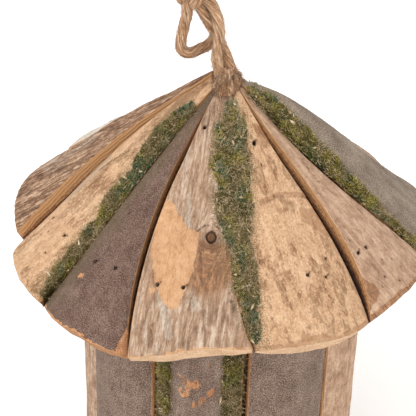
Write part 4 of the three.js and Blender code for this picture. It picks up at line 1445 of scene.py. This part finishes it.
def moss_piece(name, node, pad, place, size, seed, dry=0.0):
    """A pad of moss: a lumpy base over pad(rows, columns), dark in tint and with painted shade under the
    strands, and a coat of strands.
    place(p, q) gives points and normals on top of the pad for shares p and q. dry makes
    the strands paler towards p = 0."""
    rng = np.random.default_rng(seed)
    skin = Skin()
    top, bottom = pad
    # The base gets a dark tint and low bark values, which the moss paints as shade under the strands.
    outer = skin.add(top, tint=0.15, bark=-0.1)
    inner = skin.add(bottom, tint=0.1, bark=-0.4)
    skin.sheet(outer)
    skin.sheet(inner, flip=True)
    for first, last, flip in (
        (outer[:, 0], inner[:, 0], False), (outer[:, -1], inner[:, -1], True),
        (outer[0], inner[0], True), (outer[-1], inner[-1], False),
    ):
        skin.sheet(np.stack([first, last]), flip=flip)
    length, width = size
    tufts = int(length * width / TUFT_AREA)
    tuft_p, tuft_q = rng.uniform(0, 1, tufts), rng.uniform(0, 1, tufts)
    middles = place(tuft_p, tuft_q)[0]
    tone = rng.normal(0, 1, tufts)
    x, y = tuft_p * length, tuft_q * width
    yellow = smoothstep(0.1, 0.35, value_noise(x / 6, y / 5, seed + 1) + rng.normal(0, 0.25, tufts))
    teal = smoothstep(0.3, 0.55, value_noise(x / 7, y / 5, seed + 2) + rng.normal(0, 0.25, tufts))
    lively = np.where(teal > 0.5, 1.0, 0.5 * (yellow > 0.5))
    count = length * width * STRANDS_PER_MM2
    for portion, lengths, widths, flat, tints, astray in MOSS_COATS:
        n = int(count * portion)
        tuft = rng.integers(0, tufts, n)
        p, q = rng.uniform(0, 1, n), rng.uniform(-astray, 1 + astray, n)
        in_tuft = astray < 0.1
        if in_tuft:
            p = np.clip(tuft_p[tuft] + rng.normal(0, TUFT_SPREAD / length, n), 0, 1)
            q = np.clip(tuft_q[tuft] + rng.normal(0, TUFT_SPREAD / width, n), -astray, 1 + astray)
        roots, normals = place(p, q)
        lie = rng.normal(size=(n, 3)) * 0.7
        if in_tuft:
            lie = lie + (roots - middles[tuft]) / TUFT_SPREAD
        lie -= normals * np.sum(lie * normals, 1, keepdims=True)
        flatness = flat * rng.uniform(0.5, 1.3, (n, 1))
        long = rng.uniform(*lengths, n)
        tint = rng.uniform(*tints, n) + dry * (1.2 - p)
        shade = rng.uniform(-0.25, 0.25, n)
        if in_tuft:
            tint = tint + 0.2 * tone[tuft]
            shade = shade + 0.2 * tone[tuft]
        fibres(
            skin, roots, normals + lie * flatness, long, rng.uniform(*widths, n),
            rng.normal(0, 0.2, (n, 3)) * long[:, None], shade, tint=np.clip(tint, 0, 1),
            accent=lively[tuft] * (in_tuft and rng.uniform(0, 1, n) < 0.8),
        )
    piece = skin.build(name, [MOSS])
    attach(piece, "house")
    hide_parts(node)


def make_roof_moss(number):
    joint, start, left, right = ROOF_MOSS[number - 1]
    bearings, reach = ROOF_JOINTS[joint]
    before = roof_slabs[joint - 1]
    after = roof_slabs[joint]
    seed = 900 + 7 * number
    # A strip on one slab alone also hangs down that slab's side at the joint.
    side = int(left[1] == 0) - int(right[1] == 0)
    hem = HEM * abs(side)

    def hanging(q):
        """How far down the side the shares q hang, from 0 at the top to 1 at the bottom."""
        return np.clip(1 - (q if side > 0 else 1 - q) / HEM, 0, 1) * abs(side)

    def spread(p, q):
        """Plan points for shares p down the joint and q across the strip, with soft edges."""
        radius = start - 2 + (reach + (3.0 if side < 0 else 0.5) - start) * p
        taper = 0.35 + 0.65 * smoothstep(0, 0.16, p)
        taper = taper * (0.7 + 0.3 * smoothstep(1, 0.95, p))
        edges = []
        for widths, shift in ((left, 1), (right, 2)):
            width = along_joint(widths, radius)
            if number == 2 and shift == 1:
                # Worn narrow below the knot.
                width = width * (1 - 0.45 * smoothstep(68, 78, radius) * smoothstep(112, 98, radius))
            waver = 3.4 * fbm(radius / 8, 0 * radius + shift, seed + shift, 4)
            edges.append(np.where(width > 0, np.maximum((width - 1.8 + waver) * taper, 0.6), 0.2))
        inner = np.clip((q - hem * (side > 0)) / (1 - hem), 0, 1)
        offset = -edges[0] + (edges[0] + edges[1]) * inner
        offset = np.where(hanging(q) > 0, -0.4 * side, offset)
        return polar(along_joint(bearings, radius) + np.degrees(offset / radius), radius), offset

    def heights(plan, offset, q, p):
        on_before = before.top_height(plan)
        on_after = after.top_height(plan)
        ground = np.where(offset < -0.8, on_before, on_after)
        ground = np.where(np.abs(offset) <= 0.8, np.maximum(on_before, on_after), ground)
        if side:
            step = on_after - on_before if side > 0 else on_before - on_after
            ground = ground - hanging(q) * np.maximum(step, 0)
        rim = np.minimum(q, 1 - q) * 2
        swell = smoothstep(0.0, 0.5, rim) * smoothstep(0.0, 0.04, np.minimum(p, 1 - p))
        lumps = 1.2 + 1.1 * fbm(plan[..., 0] / 3.0, plan[..., 1] / 3.0, seed)
        return ground, swell * lumps

    def place(p, q):
        plan, offset = spread(p, q)
        ground, swell = heights(plan, offset, q, p)
        roots = np.concatenate([plan, (ground + swell)[:, None]], 1)
        outward = plan / np.linalg.norm(plan, axis=1, keepdims=True)
        normals = np.concatenate([outward * 0.58, np.full((len(p), 1), 0.81)], 1)
        return roots, normals

    rows, columns = 90, 14
    p = np.linspace(0, 1, rows)[:, None] + np.zeros((1, columns))
    q = np.linspace(0, 1, columns)[None, :] + np.zeros((rows, 1))
    plan, offset = spread(p, q)
    ground, swell = heights(plan, offset, q, p)
    top = np.concatenate([plan, (ground + 0.25 + swell)[..., None]], -1)
    bottom = np.concatenate([plan, (ground + 0.1)[..., None]], -1)
    size = (reach - start) / math.cos(after.pitch), along_joint(left, 60) + along_joint(right, 60)
    moss_piece(f"roof_moss_bed_{number}", f"roof_moss_{number}", (top, bottom), place, size, seed,
               dry=0.22 if number == 2 else 0.03)


def make_wall_moss(number):
    joint, left, right = WALL_MOSS[number - 1]
    slab = wall_slabs[joint - 1] if left else wall_slabs[joint]
    side = 1 if left else -1
    width = left or right
    seed = 980 + 7 * number
    bottom_edge, top_edge = 5.5, WALL_TOP - 5.0

    def spread(p, q):
        z = bottom_edge + (top_edge - bottom_edge) * p
        inward = width * q * (1 + 0.14 * fbm(z / 6, 0 * z, seed + 1)) + 0.3
        # Keep clear of the entrance.
        hole = np.sqrt(np.maximum((ENTRANCE_RADIUS + 1.2) ** 2 - (z - ENTRANCE_HEIGHT) ** 2, 0))
        if slab.number == 2:
            inward = np.minimum(inward, slab.half_width - hole)
        return side * (slab.half_width - inward), z

    def swell_at(u, z, q, p):
        rim = smoothstep(0.0, 0.5, np.minimum(q + 0.15, 1 - q) * 2)
        lumps = 1.2 + 0.8 * fbm(u / 3.5, z / 3.5, seed)
        return rim * lumps * smoothstep(0.0, 0.03, np.minimum(p, 1 - p))

    def place(p, q):
        u, z = spread(p, q)
        out = slab.face(u) + swell_at(u, z, q, p)
        roots = slab.place(u, out, z)
        normals = np.zeros((len(p), 3))
        normals[:, :2] = slab.outward + slab.across * (u / slab.log_radius)[:, None]
        return roots, normals / np.linalg.norm(normals, axis=1, keepdims=True)

    rows, columns = 120, 10
    p = np.linspace(0, 1, rows)[:, None] + np.zeros((1, columns))
    q = np.linspace(0, 1, columns)[None, :] + np.zeros((rows, 1))
    u, z = spread(p, q)
    swell = swell_at(u, z, q, p)
    top = slab.place(u, slab.face(u) + 0.25 + swell, z)
    bottom = slab.place(u, slab.face(u) + 0.1, z)
    size = top_edge - bottom_edge, width
    moss_piece(f"wall_moss_bed_{number}", f"wall_moss_{number}", (top, bottom), place, size, seed, dry=0.1)


for number in range(1, len(ROOF_MOSS) + 1):
    make_roof_moss(number)
for number in range(1, len(WALL_MOSS) + 1):
    make_wall_moss(number)

# --------------------------------------------------------- carried-over CAD pieces

for name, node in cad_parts.items():
    if name.startswith("brad") or name == "cleanout_screw":
        surface = STEEL
    elif name in ("ceiling_disc", "apex_block", "floor_disc", "cleanout_cover"):
        surface = BOARD
    else:
        continue
    node.data.materials.clear()
    node.data.materials.append(surface)
